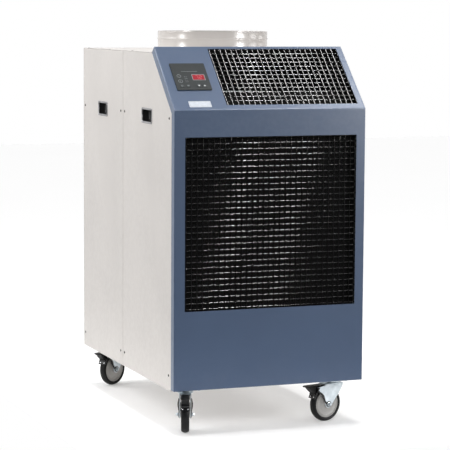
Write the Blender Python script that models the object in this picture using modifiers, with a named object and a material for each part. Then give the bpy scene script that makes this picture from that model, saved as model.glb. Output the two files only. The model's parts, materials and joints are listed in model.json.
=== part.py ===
"""Wheeled commercial cooling and drying machine: a tall sheet-metal cabinet on four braked casters.

Metres, +Z up. The front faces -Y. The origin is on the floor, in the middle of the footprint.
Air enters the upright grille, passes the cold coil and leaves through the slanted grille. The
second air stream enters at the back, passes the hot coil and leaves through the round collar.
"""
import math

import bmesh
import bpy
import numpy as np
from mathutils import Matrix, Vector

# ---------------------------------------------------------------- driving dimensions, in metres
GAP = 0.0003                # clearance between pieces that touch
SHEET = 0.0016              # sheet metal
MERGE = 0.00001             # merge distance of every modifier that welds

WIDTH = 0.711               # cabinet, side to side
BODY_DEPTH = 1.033          # side panels, front edge to rear edge
COVER_DEPTH = 0.030         # how far the front cover stands in front of the side panels
BASE_Z = 0.154              # underside of the base pan
SKIN_Z = 0.157              # bottom edge of the panels and of the cover
TOP_Z = 1.316               # cabinet top
BEND_Z = 1.112              # where the side panel's front edge starts to lean back
SETBACK = 0.213             # how far the slanted edge runs back
SEAM = 0.538                # front edge of the side panel to its seam
FLANGE = 0.018              # inward return of a side panel's edges

RETURN_X = (-0.3166, 0.3220)            # opening of the upright grille
RETURN_Z = (0.4325, 1.0320)
SUPPLY_X = (-0.1600, 0.3325)            # opening of the slanted grille
SUPPLY_U = (0.0220, 0.2940)             # measured up the slope from the outer bend
REAR_X = (-0.285, 0.285)                # opening of the rear grille
REAR_Z = (0.330, 1.180)

PLATE_X = (-0.322, -0.195)              # control plate on the slope
PLATE_U = (0.0923, 0.2193)
PLATE_THICK = 0.004
LENS_AT = (0.7175, 0.469, 0.335, 0.188)  # centre across and up, then width and height, of the plate
KEY_ROW = 0.147                         # height of the key row, as a share of the plate
KEY_ACROSS = {"key_power": 0.165, "key_mode": 0.345, "key_down": 0.655, "key_up": 0.815}
KEY_SIZE = (0.0150, 0.0120, 0.0036)
KEY_LIFT = 0.0016                       # key's underside above the cover, more than its travel

HANDLE_Z = (1.070, 1.114)               # recessed handles, one in each side panel
HANDLE_WIDE = 0.104
HANDLE_FRONT = 0.2642                   # centre, from the side panel's front edge
HANDLE_REAR = 0.7831
HANDLE_DEEP = 0.028
HANDLE_LIP = 0.006

COLLAR_R = 0.203                        # 16 inch duct collar
COLLAR_HIGH = 0.070
COLLAR_BEAD = 0.043
COLLAR_Y = 0.0583

WHEEL_R = 0.0635                        # 5 inch caster
TREAD_WIDE = 0.029
TRAIL = 0.032                           # swivel axis to wheel axle
FORK_IN = 0.0175                        # half the space between the fork's sides
FORK_OUT = 0.0208
AXLE_R = 0.005
CROWN_R = 0.028
PEDAL_TIP = 0.132
PEDAL_PIVOT = (0.062, 0.1385)           # out along the trail, and up
FRONT_TRACK = 0.280                     # swivel axis to the cabinet's middle
REAR_TRACK = 0.235
FRONT_CASTER_Y = -0.4395
REAR_CASTER_Y = 0.4755
CASTER_MARGIN = 0.142                   # edge of the base pan to the flat pad between the casters
PAD_STEP = 0.0005                       # height of the pads pressed in the base pan and the top
DECK_X = (-0.300, 0.300)                # flat pad of the top, behind the collar
DECK_Y = (0.300, 0.505)
CASTER_HEADING = {                      # where each caster trails, in degrees from +X
    "front_left": -109.9,
    "front_right": -164.0,
    "rear_left": -148.7,
    "rear_right": 37.64,
}

# ---------------------------------------------------------------- values that follow from them
FRONT_Y = COVER_DEPTH - (BODY_DEPTH + COVER_DEPTH) / 2
FACE_Y = FRONT_Y - COVER_DEPTH
REAR_Y = FRONT_Y + BODY_DEPTH
SEAM_Y = FRONT_Y + SEAM
LEAN = math.atan2(SETBACK, TOP_Z - BEND_Z)
SLOPE_ANGLE = math.pi / 2 - LEAN
BEND_OUT_Z = BEND_Z + COVER_DEPTH * math.tan(LEAN / 2)
SLOPE_ORIGIN = Vector((0.0, FACE_Y, BEND_OUT_Z))
SLOPE_LONG = math.hypot(SETBACK, TOP_Z - BEND_Z) + COVER_DEPTH * math.tan(LEAN / 2)
HALF = WIDTH / 2
PAN_TOP = BASE_Z + 0.0025

COLOURS = {                             # base colour, roughness, metallic
    "cabinet": ((0.71, 0.68, 0.65), 0.45, 0.0),
    "cover": ((0.085, 0.115, 0.185), 0.42, 0.0),
    "black_wire": ((0.012, 0.012, 0.013), 0.40, 0.2),
    "filter": ((0.02, 0.02, 0.02), 0.95, 0.0),
    "aluminium": ((0.60, 0.61, 0.62), 0.45, 1.0),
    "galvanised": ((0.52, 0.54, 0.55), 0.40, 1.0),
    "zinc": ((0.55, 0.60, 0.62), 0.30, 1.0),
    "motor": ((0.05, 0.05, 0.055), 0.50, 0.3),
    "black_plastic": ((0.015, 0.015, 0.016), 0.45, 0.0),
    "grey_plastic": ((0.16, 0.16, 0.16), 0.50, 0.0),
    "plate": ((0.07, 0.09, 0.10), 0.40, 0.0),
    "lens": ((0.45, 0.05, 0.07), 0.12, 0.0),
    "rubber": ((0.02, 0.02, 0.02), 0.60, 0.0),
    "hub": ((0.20, 0.20, 0.20), 0.45, 0.0),
}


# ---------------------------------------------------------------- scene and object helpers
def clear_scene():
    for obj in list(bpy.data.objects):
        bpy.data.objects.remove(obj, do_unlink=True)


def new_collection(name):
    collection = bpy.data.collections.new(name)
    bpy.context.scene.collection.children.link(collection)
    return collection


clear_scene()
PARTS = new_collection("portable_cooler")
CUTTERS = new_collection("cutters")


def material(name):
    found = bpy.data.materials.get(name)
    if found:
        return found
    colour, roughness, metallic = COLOURS[name]
    made = bpy.data.materials.new(name)
    made.use_nodes = True
    shader = made.node_tree.nodes["Principled BSDF"]
    shader.inputs["Base Color"].default_value = (*colour, 1.0)
    shader.inputs["Roughness"].default_value = roughness
    shader.inputs["Metallic"].default_value = metallic
    return made


def add_part(name, mesh, look, place=None):
    """Link a mesh as a part of the machine, at a place given as a matrix."""
    obj = bpy.data.objects.new(name, mesh)
    PARTS.objects.link(obj)
    if not mesh.materials:
        mesh.materials.append(material(look))
    if place is not None:
        obj.matrix_world = place
    return obj


def add_cutter(name, mesh, place=None):
    obj = bpy.data.objects.new(name, mesh)
    CUTTERS.objects.link(obj)
    obj.hide_render = True
    obj.display_type = "WIRE"
    if place is not None:
        obj.matrix_world = place
    return obj


def finish_mesh(bm, name, smooth=False):
    mesh = bpy.data.meshes.new(name)
    bm.to_mesh(mesh)
    bm.free()
    if smooth:
        mesh.shade_smooth()
        mesh.set_sharp_from_angle(angle=math.radians(35))
    return mesh


# ---------------------------------------------------------------- mesh helpers
def box_mesh(name, low, high):
    bm = bmesh.new()
    size = Vector(high) - Vector(low)
    middle = (Vector(high) + Vector(low)) / 2
    bmesh.ops.create_cube(bm, size=1.0, matrix=Matrix.Translation(middle) @ Matrix.Diagonal((*size, 1.0)))
    return finish_mesh(bm, name)


def rod_mesh(name, radius, length, segments=24, smooth=True):
    """A solid round or hexagonal rod along local Z, centred."""
    bm = bmesh.new()
    bmesh.ops.create_cone(bm, cap_ends=True, segments=segments, radius1=radius, radius2=radius, depth=length)
    return finish_mesh(bm, name, smooth)


def outline_mesh(name, outline, half):
    """A flat outline of (x, z) points, extruded by half to each side along Y."""
    bm = bmesh.new()
    verts = [bm.verts.new((x, -half, z)) for x, z in outline]
    face = bm.faces.new(verts)
    pushed = bmesh.ops.extrude_face_region(bm, geom=[face])
    moved = [item for item in pushed["geom"] if isinstance(item, bmesh.types.BMVert)]
    bmesh.ops.translate(bm, verts=moved, vec=(0.0, 2 * half, 0.0))
    bmesh.ops.recalc_face_normals(bm, faces=bm.faces)
    return finish_mesh(bm, name)


def arc(centre, radius, start, end, steps):
    """Points of an arc, angles in degrees."""
    angles = np.radians(np.linspace(start, end, steps + 1))
    return [(centre[0] + radius * math.cos(a), centre[1] + radius * math.sin(a)) for a in angles]


def turned_mesh(name, profile, closed=True):
    """A mesh that holds a (radius, height) profile as edges, for a Screw modifier about Z."""
    bm = bmesh.new()
    verts = [bm.verts.new((radius, 0.0, height)) for radius, height in profile]
    pairs = list(zip(verts, verts[1:]))
    if closed:
        pairs.append((verts[-1], verts[0]))
    for pair in pairs:
        bm.edges.new(pair)
    return finish_mesh(bm, name)


def lattice_mesh(name, wide, high, columns, rows, border, bar):
    """A flat sheet in the XZ plane with a grid of rectangular cells left out."""
    def lines(length, cells):
        pitch = (length - 2 * border - (cells - 1) * bar) / cells
        at = [-length / 2]
        for cell in range(cells):
            start = -length / 2 + border + cell * (pitch + bar)
            at += [start, start + pitch]
        return at + [length / 2]

    xs = lines(wide, columns)
    zs = lines(high, rows)
    bm = bmesh.new()
    grid = [[bm.verts.new((x, 0.0, z)) for x in xs] for z in zs]
    for row in range(len(zs) - 1):
        for column in range(len(xs) - 1):
            if row % 2 and column % 2:
                continue
            corners = (grid[row][column], grid[row][column + 1],
                       grid[row + 1][column + 1], grid[row + 1][column])
            bm.faces.new(corners)
    return finish_mesh(bm, name)


# ---------------------------------------------------------------- modifier helpers
def solidify(obj, thickness, offset=-1.0):
    mod = obj.modifiers.new("thickness", "SOLIDIFY")
    mod.thickness = thickness
    mod.offset = offset
    mod.use_even_offset = True
    mod.use_quality_normals = True
    return mod


def bevel(obj, width, segments=2, angle=30):
    mod = obj.modifiers.new("rounded_edges", "BEVEL")
    mod.width = width
    mod.segments = segments
    mod.limit_method = "ANGLE"
    mod.angle_limit = math.radians(angle)
    return mod


def screw(obj, steps):
    mod = obj.modifiers.new("turned", "SCREW")
    mod.steps = steps
    mod.render_steps = steps
    mod.use_merge_vertices = True
    mod.merge_threshold = MERGE
    mod.use_smooth_shade = True
    return mod


def boolean(obj, other, operation="DIFFERENCE"):
    mod = obj.modifiers.new(operation.lower() + "_" + other.name, "BOOLEAN")
    mod.operation = operation
    mod.object = other
    return mod


def cut_box(obj, name, low, high, place=None):
    return boolean(obj, add_cutter(name, box_mesh(name, low, high), place))


# ---------------------------------------------------------------- places
def at(x=0.0, y=0.0, z=0.0):
    return Matrix.Translation((x, y, z))


ALONG_X = Matrix.Rotation(math.pi / 2, 4, "Y")       # turns a local Z axis to point along +X
SLOPE = Matrix.Translation(SLOPE_ORIGIN) @ Matrix.Rotation(SLOPE_ANGLE, 4, "X")


# ---------------------------------------------------------------- cabinet
def side_outline(y_from, y_to, leaning):
    """Outline of a side panel in (y, z). The front one has its corner cut by the slope."""
    top = TOP_Z - SHEET - GAP
    if not leaning:
        return [(y_from, SKIN_Z), (y_to, SKIN_Z), (y_to, top), (y_from, top)]
    slope_y = y_from + (top - BEND_Z) * math.tan(LEAN)
    return [(y_from, SKIN_Z), (y_to, SKIN_Z), (y_to, top), (slope_y, top), (y_from, BEND_Z)]


def side_panel(name, side, y_from, y_to, leaning, handle_y):
    """A flat side with returned edges. Its bottom edge is plain. side is -1 left, +1 right."""
    bm = bmesh.new()
    outline = side_outline(y_from, y_to, leaning)
    outer = [bm.verts.new((side * HALF, y, z)) for y, z in outline]
    inner = [bm.verts.new((side * (HALF - FLANGE), y, z)) for y, z in outline]
    bm.faces.new(outer)
    for index in range(1, len(outline)):
        after = (index + 1) % len(outline)
        bm.faces.new((outer[after], outer[index], inner[index], inner[after]))
    if side < 0:
        bmesh.ops.reverse_faces(bm, faces=bm.faces)
    panel = add_part(name, finish_mesh(bm, name), "cabinet")
    solidify(panel, SHEET)
    half = HANDLE_WIDE / 2
    cut_box(panel, name + "_handle_hole", (side * HALF - 0.006, handle_y - half, HANDLE_Z[0]),
            (side * HALF + 0.006, handle_y + half, HANDLE_Z[1]))
    return panel


def handle_cup(name, side, handle_y):
    """A pressed cup in the handle hole, open outwards, with a thin lip on the panel's outside."""
    deep = HANDLE_DEEP
    half_y = HANDLE_WIDE / 2 - 2 * GAP
    half_z = (HANDLE_Z[1] - HANDLE_Z[0]) / 2 - 2 * GAP
    lip = HANDLE_LIP
    bm = bmesh.new()
    rings = []
    for wide, high, x in ((half_y + lip, half_z + lip, 0.0), (half_y, half_z, 0.0),
                          (half_y, half_z, -deep)):
        corners = ((-wide, -high), (wide, -high), (wide, high), (-wide, high))
        rings.append([bm.verts.new((x, y, z)) for y, z in corners])
    for outer, inner in zip(rings, rings[1:]):
        for index in range(4):
            after = (index + 1) % 4
            bm.faces.new((outer[index], outer[after], inner[after], inner[index]))
    bm.faces.new(rings[2])
    if side < 0:
        bmesh.ops.scale(bm, vec=(-1.0, 1.0, 1.0), verts=bm.verts)
        bmesh.ops.reverse_faces(bm, faces=bm.faces)
    middle = sum(HANDLE_Z) / 2
    proud = side * (HALF + GAP)
    cup = add_part(name, finish_mesh(bm, name), "black_plastic", at(proud, handle_y, middle))
    solidify(cup, 0.0014, offset=1.0)
    return cup


def base_pan():
    """A floor plate over the whole footprint, with a raised rim inside the panels.

    Between the casters the sheet is pressed down a little to a flat pad that it can rest on.
    """
    bm = bmesh.new()
    low = Vector((-HALF, FRONT_Y, BASE_Z))
    high = Vector((HALF, REAR_Y, PAN_TOP))
    size = high - low
    bmesh.ops.create_cube(bm, size=1.0,
                          matrix=Matrix.Translation((low + high) / 2) @ Matrix.Diagonal((*size, 1.0)))
    bm.faces.ensure_lookup_table()
    under = min(bm.faces, key=lambda face: face.calc_center_median().z)
    top = max(bm.faces, key=lambda face: face.calc_center_median().z)
    bmesh.ops.inset_region(bm, faces=[under], thickness=CASTER_MARGIN, use_even_offset=True)
    bmesh.ops.inset_region(bm, faces=[under], thickness=0.001, use_even_offset=True)
    bmesh.ops.translate(bm, verts=under.verts, vec=(0.0, 0.0, -PAD_STEP))
    bmesh.ops.inset_region(bm, faces=[top], thickness=FLANGE + 0.005, use_even_offset=True)
    ring = bmesh.ops.inset_region(bm, faces=[top], thickness=0.002, use_even_offset=True)["faces"]
    lifted = bmesh.ops.extrude_face_region(bm, geom=ring)["geom"]
    moved = [item for item in lifted if isinstance(item, bmesh.types.BMVert)]
    bmesh.ops.delete(bm, geom=ring, context="FACES")
    bmesh.ops.translate(bm, verts=moved, vec=(0.0, 0.0, 0.036))
    return add_part("base_pan", finish_mesh(bm, "base_pan"), "galvanised")


def center_bulkhead():
    """The upright wall between the cold front half and the hot rear half."""
    low = (-HALF + FLANGE + 0.010, SEAM_Y - 0.001, PAN_TOP + GAP)
    high = (HALF - FLANGE - 0.010, SEAM_Y + 0.001, 1.02)
    return add_part("center_bulkhead", box_mesh("center_bulkhead", low, high), "galvanised")


def top_panel():
    """A flat sheet over the side panels, with the collar's hole and a pressed flat pad behind it."""
    slope_y = FRONT_Y + SETBACK
    low = (-HALF, slope_y + 0.004, TOP_Z - SHEET)
    panel = add_part("top_panel", box_mesh("top_panel", low, (HALF, REAR_Y, TOP_Z)), "cabinet")
    pad = box_mesh("deck_pad", (DECK_X[0], DECK_Y[0], TOP_Z - SHEET / 2),
                   (DECK_X[1], DECK_Y[1], TOP_Z + PAD_STEP))
    boolean(panel, add_cutter("deck_pad", pad), "UNION")
    hole = rod_mesh("collar_hole", COLLAR_R - 0.012, 0.05, 40, False)
    boolean(panel, add_cutter("collar_hole", hole, at(0.0, COLLAR_Y, TOP_Z)))
    return panel


def rear_panel():
    low = (-HALF, REAR_Y - SHEET, SKIN_Z)
    high = (HALF, REAR_Y, TOP_Z - SHEET - GAP)
    panel = add_part("rear_panel", box_mesh("rear_panel", low, high), "cabinet")
    cut_box(panel, "rear_opening", (REAR_X[0], REAR_Y - 0.02, REAR_Z[0]),
            (REAR_X[1], REAR_Y + 0.02, REAR_Z[1]))
    gland_hole = rod_mesh("gland_hole", 0.0135, 0.05, 24, False)
    boolean(panel, add_cutter("gland_hole", gland_hole, GLAND_PLACE))
    return panel


def front_cover():
    """The coloured front: an upright face and a slope, with returned sides, bottom and top end."""
    bm = bmesh.new()
    back = GAP
    outer = [(FACE_Y, SKIN_Z), (FACE_Y, BEND_OUT_Z)]
    inner = [(FRONT_Y - back, SKIN_Z), (FRONT_Y - back, BEND_Z)]
    along = Vector((math.sin(LEAN), math.cos(LEAN)))
    out = Vector((-math.cos(LEAN), math.sin(LEAN)))
    end = Vector((FACE_Y, BEND_OUT_Z)) + along * SLOPE_LONG
    outer.append(tuple(end))
    inner.append(tuple(end - out * (COVER_DEPTH - back)))
    left_out = [bm.verts.new((-HALF, y, z)) for y, z in outer]
    right_out = [bm.verts.new((HALF, y, z)) for y, z in outer]
    left_in = [bm.verts.new((-HALF, y, z)) for y, z in inner]
    right_in = [bm.verts.new((HALF, y, z)) for y, z in inner]
    for index in (0, 1):
        bm.faces.new((left_out[index], right_out[index], right_out[index + 1], left_out[index + 1]))
        bm.faces.new((left_in[index], left_out[index], left_out[index + 1], left_in[index + 1]))
        bm.faces.new((right_out[index], right_in[index], right_in[index + 1], right_out[index + 1]))
    bm.faces.new((left_in[0], right_in[0], right_out[0], left_out[0]))
    bm.faces.new((left_out[2], right_out[2], right_in[2], left_in[2]))
    cover = add_part("front_cover", finish_mesh(bm, "front_cover"), "cover")
    bevel(cover, 0.0025, 2, 40)
    solidify(cover, SHEET)
    cut_box(cover, "return_opening", (RETURN_X[0], FACE_Y - 0.01, RETURN_Z[0]),
            (RETURN_X[1], FACE_Y + 0.01, RETURN_Z[1]))
    cut_box(cover, "supply_opening", (SUPPLY_X[0], SUPPLY_U[0], -0.01),
            (SUPPLY_X[1], SUPPLY_U[1], 0.01), SLOPE)
    return cover


def grille(name, place, wide, high, columns, rows, look="black_wire"):
    """A wire grille as a flat lattice, with the rim that lies behind the opening's edge."""
    rim = 0.012
    mesh = lattice_mesh(name, wide + 2 * rim, high + 2 * rim, columns, rows, rim, 0.005)
    obj = add_part(name, mesh, look, place)
    solidify(obj, 0.004, offset=0.0)
    return obj


def grilles():
    behind = SHEET + 0.0035
    x = sum(RETURN_X) / 2
    z = sum(RETURN_Z) / 2
    grille("return_grille", at(x, FACE_Y + behind, z), RETURN_X[1] - RETURN_X[0],
           RETURN_Z[1] - RETURN_Z[0], 7, 7)
    x = sum(SUPPLY_X) / 2
    u = sum(SUPPLY_U) / 2
    lay_flat = Matrix.Rotation(-math.pi / 2, 4, "X")
    grille("supply_grille", SLOPE @ at(x, u, -behind) @ lay_flat, SUPPLY_X[1] - SUPPLY_X[0],
           SUPPLY_U[1] - SUPPLY_U[0], 7, 4)
    x = sum(REAR_X) / 2
    z = sum(REAR_Z) / 2
    grille("rear_grille", at(x, REAR_Y - behind, z), REAR_X[1] - REAR_X[0], REAR_Z[1] - REAR_Z[0], 5, 6)


def duct_collar():
    """A turned steel collar: foot flange, wall with a bead, and a rolled rim."""
    wall = 0.0016
    radius = COLLAR_R
    outside = [(radius - 0.0010, COLLAR_HIGH)]
    outside += [(radius + 0.0014, COLLAR_HIGH - 0.0020), (radius, COLLAR_HIGH - 0.0045)]
    outside += arc((radius - 0.002, COLLAR_BEAD), 0.0065, 50, -50, 3)
    outside += [(radius, 0.004), (radius + 0.012, 0.0018), (radius + 0.012, GAP)]
    inside = [(radius - wall - 0.006, GAP), (radius - wall, 0.006), (radius - wall, COLLAR_HIGH - 0.002)]
    collar = add_part("duct_collar", turned_mesh("duct_collar", outside + inside), "cabinet",
                      at(0.0, COLLAR_Y, TOP_Z))
    screw(collar, 36)
    return collar


# ---------------------------------------------------------------- control panel
def plate_point(across, up):
    """A place on the control plate, as shares of its width and height from its lower left."""
    return (PLATE_X[0] + across * (PLATE_X[1] - PLATE_X[0]), PLATE_U[0] + up * (PLATE_U[1] - PLATE_U[0]))


def control_panel():
    plate = add_part("control_plate", box_mesh("control_plate", (PLATE_X[0], PLATE_U[0], GAP),
                                               (PLATE_X[1], PLATE_U[1], PLATE_THICK)), "plate", SLOPE)
    bevel(plate, 0.0008, 1)
    wide = LENS_AT[2] * (PLATE_X[1] - PLATE_X[0]) / 2
    high = LENS_AT[3] * (PLATE_U[1] - PLATE_U[0]) / 2
    x, u = plate_point(*LENS_AT[:2])
    cut_box(plate, "lens_window", (x - wide - GAP, u - high - GAP, -0.01),
            (x + wide + GAP, u + high + GAP, 0.02), SLOPE)
    lens = add_part("display_lens", box_mesh("display_lens", (x - wide, u - high, 0.001),
                                             (x + wide, u + high, PLATE_THICK + 0.0006)), "lens", SLOPE)
    bevel(lens, 0.0004, 1)
    slack = 2 * GAP
    half_x, half_u = KEY_SIZE[0] / 2, KEY_SIZE[1] / 2
    for name, across in KEY_ACROSS.items():
        x, u = plate_point(across, KEY_ROW)
        cut_box(plate, name + "_window", (x - half_x - slack, u - half_u - slack, -0.01),
                (x + half_x + slack, u + half_u + slack, 0.02), SLOPE)
        key = box_mesh(name, (-half_x, -half_u, 0.0), (half_x, half_u, KEY_SIZE[2]))
        button = add_part(name, key, "grey_plastic", SLOPE @ at(x, u, KEY_LIFT))
        bevel(button, 0.0008, 1)


# ---------------------------------------------------------------- inside the cabinet
FIN_PITCH = 0.020
FIN_THICK = 0.0016
BLOWER_R = 0.110
BLOWER_HALF = 0.105
BLOWER_INLET_R = 0.088
HOUSING_HALF = 0.130
EVAP_BLOWER = (-0.165, 0.800)           # shaft axis in (y, z)
COND_BLOWER = (0.215, 0.860)
GLAND_PLACE = at(0.230, REAR_Y, 0.250) @ Matrix.Rotation(-math.pi / 2, 4, "X")


def coil(name, low, high):
    """A coil core: one sheet folded back and forth into upright fins."""
    folds = round((high[0] - low[0]) / FIN_PITCH)
    path = []
    for fold in range(folds + 1):
        x = low[0] + (high[0] - low[0]) * fold / folds
        start, stop = (low[1], high[1]) if fold % 2 else (high[1], low[1])
        path += [(x, start), (x, stop)]
    bm = bmesh.new()
    bottom = [bm.verts.new((x, y, low[2])) for x, y in path]
    top = [bm.verts.new((x, y, high[2])) for x, y in path]
    for index in range(len(path) - 1):
        bm.faces.new((bottom[index], bottom[index + 1], top[index + 1], top[index]))
    core = add_part(name, finish_mesh(bm, name), "aluminium")
    solidify(core, FIN_THICK, offset=0.0)
    return core


def open_tub(name, low, high, open_side, wall, radius, look):
    """A thin-walled tub with rounded edges, left open on its top or its front."""
    bm = bmesh.new()
    size = Vector(high) - Vector(low)
    middle = (Vector(high) + Vector(low)) / 2
    bmesh.ops.create_cube(bm, size=1.0, matrix=Matrix.Translation(middle) @ Matrix.Diagonal((*size, 1.0)))
    away = Vector(open_side)
    mouth = [face for face in bm.faces if face.normal.dot(away) > 0.9]
    bmesh.ops.delete(bm, geom=mouth, context="FACES")
    tub = add_part(name, finish_mesh(bm, name), look)
    bevel(tub, radius, 2)
    solidify(tub, wall)
    return tub


def scroll_outline(centre, radius, top):
    """A blower scroll in (y, z): a spiral that widens clockwise from its cut-off to an upright neck."""
    steps = 18
    points = []
    for index in range(steps + 1):
        share = index / steps
        angle = math.radians(60.0 - 240.0 * share)
        reach = radius * (0.76 + 0.24 * share)
        points.append((centre[0] + reach * math.cos(angle), centre[1] + reach * math.sin(angle)))
    return [(points[0][0], top)] + points + [(points[-1][0], top)]


def blower_housing(name, centre, radius, top, half):
    """A sheet scroll, open at its outlet and at one round inlet in each side."""
    outline = scroll_outline(centre, radius, top)
    bm = bmesh.new()
    left = [bm.verts.new((-half, y, z)) for y, z in outline]
    right = [bm.verts.new((half, y, z)) for y, z in outline]
    bm.faces.new(left)
    bm.faces.new(list(reversed(right)))
    for index in range(len(outline) - 1):
        bm.faces.new((left[index + 1], left[index], right[index], right[index + 1]))
    housing = add_part(name, finish_mesh(bm, name), "galvanised")
    solidify(housing, SHEET)
    hole = rod_mesh(name + "_inlets", BLOWER_INLET_R, 4 * half, 24, False)
    boolean(housing, add_cutter(name + "_inlets", hole, at(0.0, centre[0], centre[1]) @ ALONG_X))
    return housing


def blower_wheel(name, axis):
    """A squirrel-cage wheel about X: slotted drum, middle disc, hub and shaft stub."""
    segments = 24
    rows = (-BLOWER_HALF, -BLOWER_HALF + 0.010, -0.006, 0.006, BLOWER_HALF - 0.010, BLOWER_HALF)
    bm = bmesh.new()
    rings = []
    for height in rows:
        angles = [2 * math.pi * index / segments for index in range(segments)]
        rings.append([bm.verts.new((BLOWER_R * math.cos(a), BLOWER_R * math.sin(a), height)) for a in angles])
    for row in range(len(rows) - 1):
        for index in range(segments):
            if row in (1, 3) and index % 2:
                continue
            after = (index + 1) % segments
            bm.faces.new((rings[row][index], rings[row][after], rings[row + 1][after], rings[row + 1][index]))
    place = at(0.0, *axis) @ ALONG_X
    wheel = add_part(name, finish_mesh(bm, name), "aluminium", place)
    solidify(wheel, 0.003)
    core_profile = [(0.0, 0.172), (0.006, 0.172), (0.006, 0.030), (0.022, 0.030), (0.022, 0.003),
                    (BLOWER_R - 0.0015, 0.003), (BLOWER_R - 0.0015, -0.003), (0.022, -0.003),
                    (0.022, -0.020), (0.0, -0.020)]
    core = add_cutter(name + "_core", turned_mesh(name + "_core", core_profile, closed=False), place)
    screw(core, 24)
    boolean(wheel, core, "UNION")
    return wheel


def blower_motor(name, axis):
    """A motor beside the housing, with a pocket that the wheel's shaft turns in."""
    profile = [(0.0, 0.135), (0.018, 0.135), (0.020, 0.120), (0.060, 0.112), (0.066, 0.100),
               (0.066, 0.020), (0.060, 0.006), (0.024, 0.0), (0.008, 0.0), (0.008, 0.022), (0.0, 0.022)]
    place = at(0.152, *axis) @ ALONG_X
    motor = add_part(name, turned_mesh(name, profile, closed=False), "motor", place)
    screw(motor, 20)
    return motor


def compressor():
    """A welded compressor can with domed ends on a foot ring."""
    radius, high = 0.076, 0.300
    dome = 0.045
    top = [(radius * math.cos(a), high - dome + dome * math.sin(a))
           for a in np.radians(np.linspace(90, 0, 6))]
    top[0] = (0.0, high)
    foot = [(radius, 0.030), (radius + 0.018, 0.024), (radius + 0.018, 0.0), (0.0, 0.0)]
    can = add_part("compressor", turned_mesh("compressor", top + foot, closed=False), "motor",
                   at(-0.150, 0.300, PAN_TOP + GAP))
    screw(can, 28)
    return can


def rounded_block(name, low, high, look, radius, segments=2):
    block = add_part(name, box_mesh(name, low, high), look)
    bevel(block, radius, segments)
    return block


def cord_gland():
    """The nylon gland in the rear panel: a hexagon against the sheet and a domed nose outside."""
    profile = [(0.0130, -0.012), (0.0130, GAP), (0.0175, GAP), (0.0175, 0.007), (0.0140, 0.009),
               (0.0120, 0.020), (0.0070, 0.024), (0.0070, -0.012)]
    gland = add_part("cord_gland", turned_mesh("cord_gland", list(reversed(profile))), "black_plastic",
                     GLAND_PLACE)
    screw(gland, 20)
    return gland


def inside():
    rounded_block("return_filter", (RETURN_X[0] - 0.010, FRONT_Y + 0.004, RETURN_Z[0] - 0.010),
                  (RETURN_X[1] + 0.005, FRONT_Y + 0.022, RETURN_Z[1] + 0.010), "filter", 0.002, 1)
    coil("evaporator_coil", (-0.312, FRONT_Y + 0.040, 0.42), (0.312, FRONT_Y + 0.120, 1.04))
    coil("condenser_coil", (-0.312, REAR_Y - 0.100, 0.31), (0.312, REAR_Y - 0.025, 1.20))
    blower_housing("evaporator_blower_housing", EVAP_BLOWER, 0.165, 1.170, HOUSING_HALF)
    blower_housing("condenser_blower_housing", COND_BLOWER, 0.165, 1.290, HOUSING_HALF)
    blower_wheel("evaporator_blower_wheel", EVAP_BLOWER)
    blower_wheel("condenser_blower_wheel", COND_BLOWER)
    blower_motor("evaporator_blower_motor", EVAP_BLOWER)
    blower_motor("condenser_blower_motor", COND_BLOWER)
    compressor()
    open_tub("condensate_tank", (-0.250, -0.440, PAN_TOP + 0.002), (0.250, -0.080, 0.360),
             (0, 0, 1), 0.004, 0.018, "black_plastic")
    open_tub("electrical_box", (-0.325, -0.230, 1.130), (-0.170, -0.060, 1.290),
             (0, -1, 0), SHEET, 0.003, "galvanised")


# ---------------------------------------------------------------- casters
def caster_place(name):
    """The swivel axis on the floor, with local X along the caster's trail."""
    track = FRONT_TRACK if name.startswith("front") else REAR_TRACK
    x = -track if name.endswith("left") else track
    y = FRONT_CASTER_Y if name.startswith("front") else REAR_CASTER_Y
    return at(x, y, 0.0), Matrix.Rotation(math.radians(CASTER_HEADING[name]), 4, "Z")


def fork_outline():
    """Side view of the fork in (x, z), from the crown's back round the axle boss to its front."""
    crown_top = 0.1365
    boss = arc((TRAIL, WHEEL_R), 0.0140, 215, 350, 7)
    leading = [(-0.0345, crown_top), (-0.0300, 0.1208), (-0.0140, 0.0980), (0.0040, 0.0772)]
    trailing = [(0.0530, 0.0827), (0.0640, 0.1020), (0.0780, 0.1108), (0.0830, 0.1185),
                (0.0825, 0.1285), (0.0500, 0.1327), (0.0420, crown_top)]
    return leading + boss + trailing


def pedal_outline():
    """Side view of the brake pedal in (x, z): a long lip on a wedge over the tread."""
    return [(0.047, 0.1370), (0.0600, 0.1300), (0.0735, 0.1180), (0.0850, 0.1080), (0.0940, 0.1080),
            (0.1180, 0.1340), (0.1310, 0.1372), (PEDAL_TIP, 0.1390), (0.1308, 0.1405), (0.047, 0.1405)]


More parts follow.
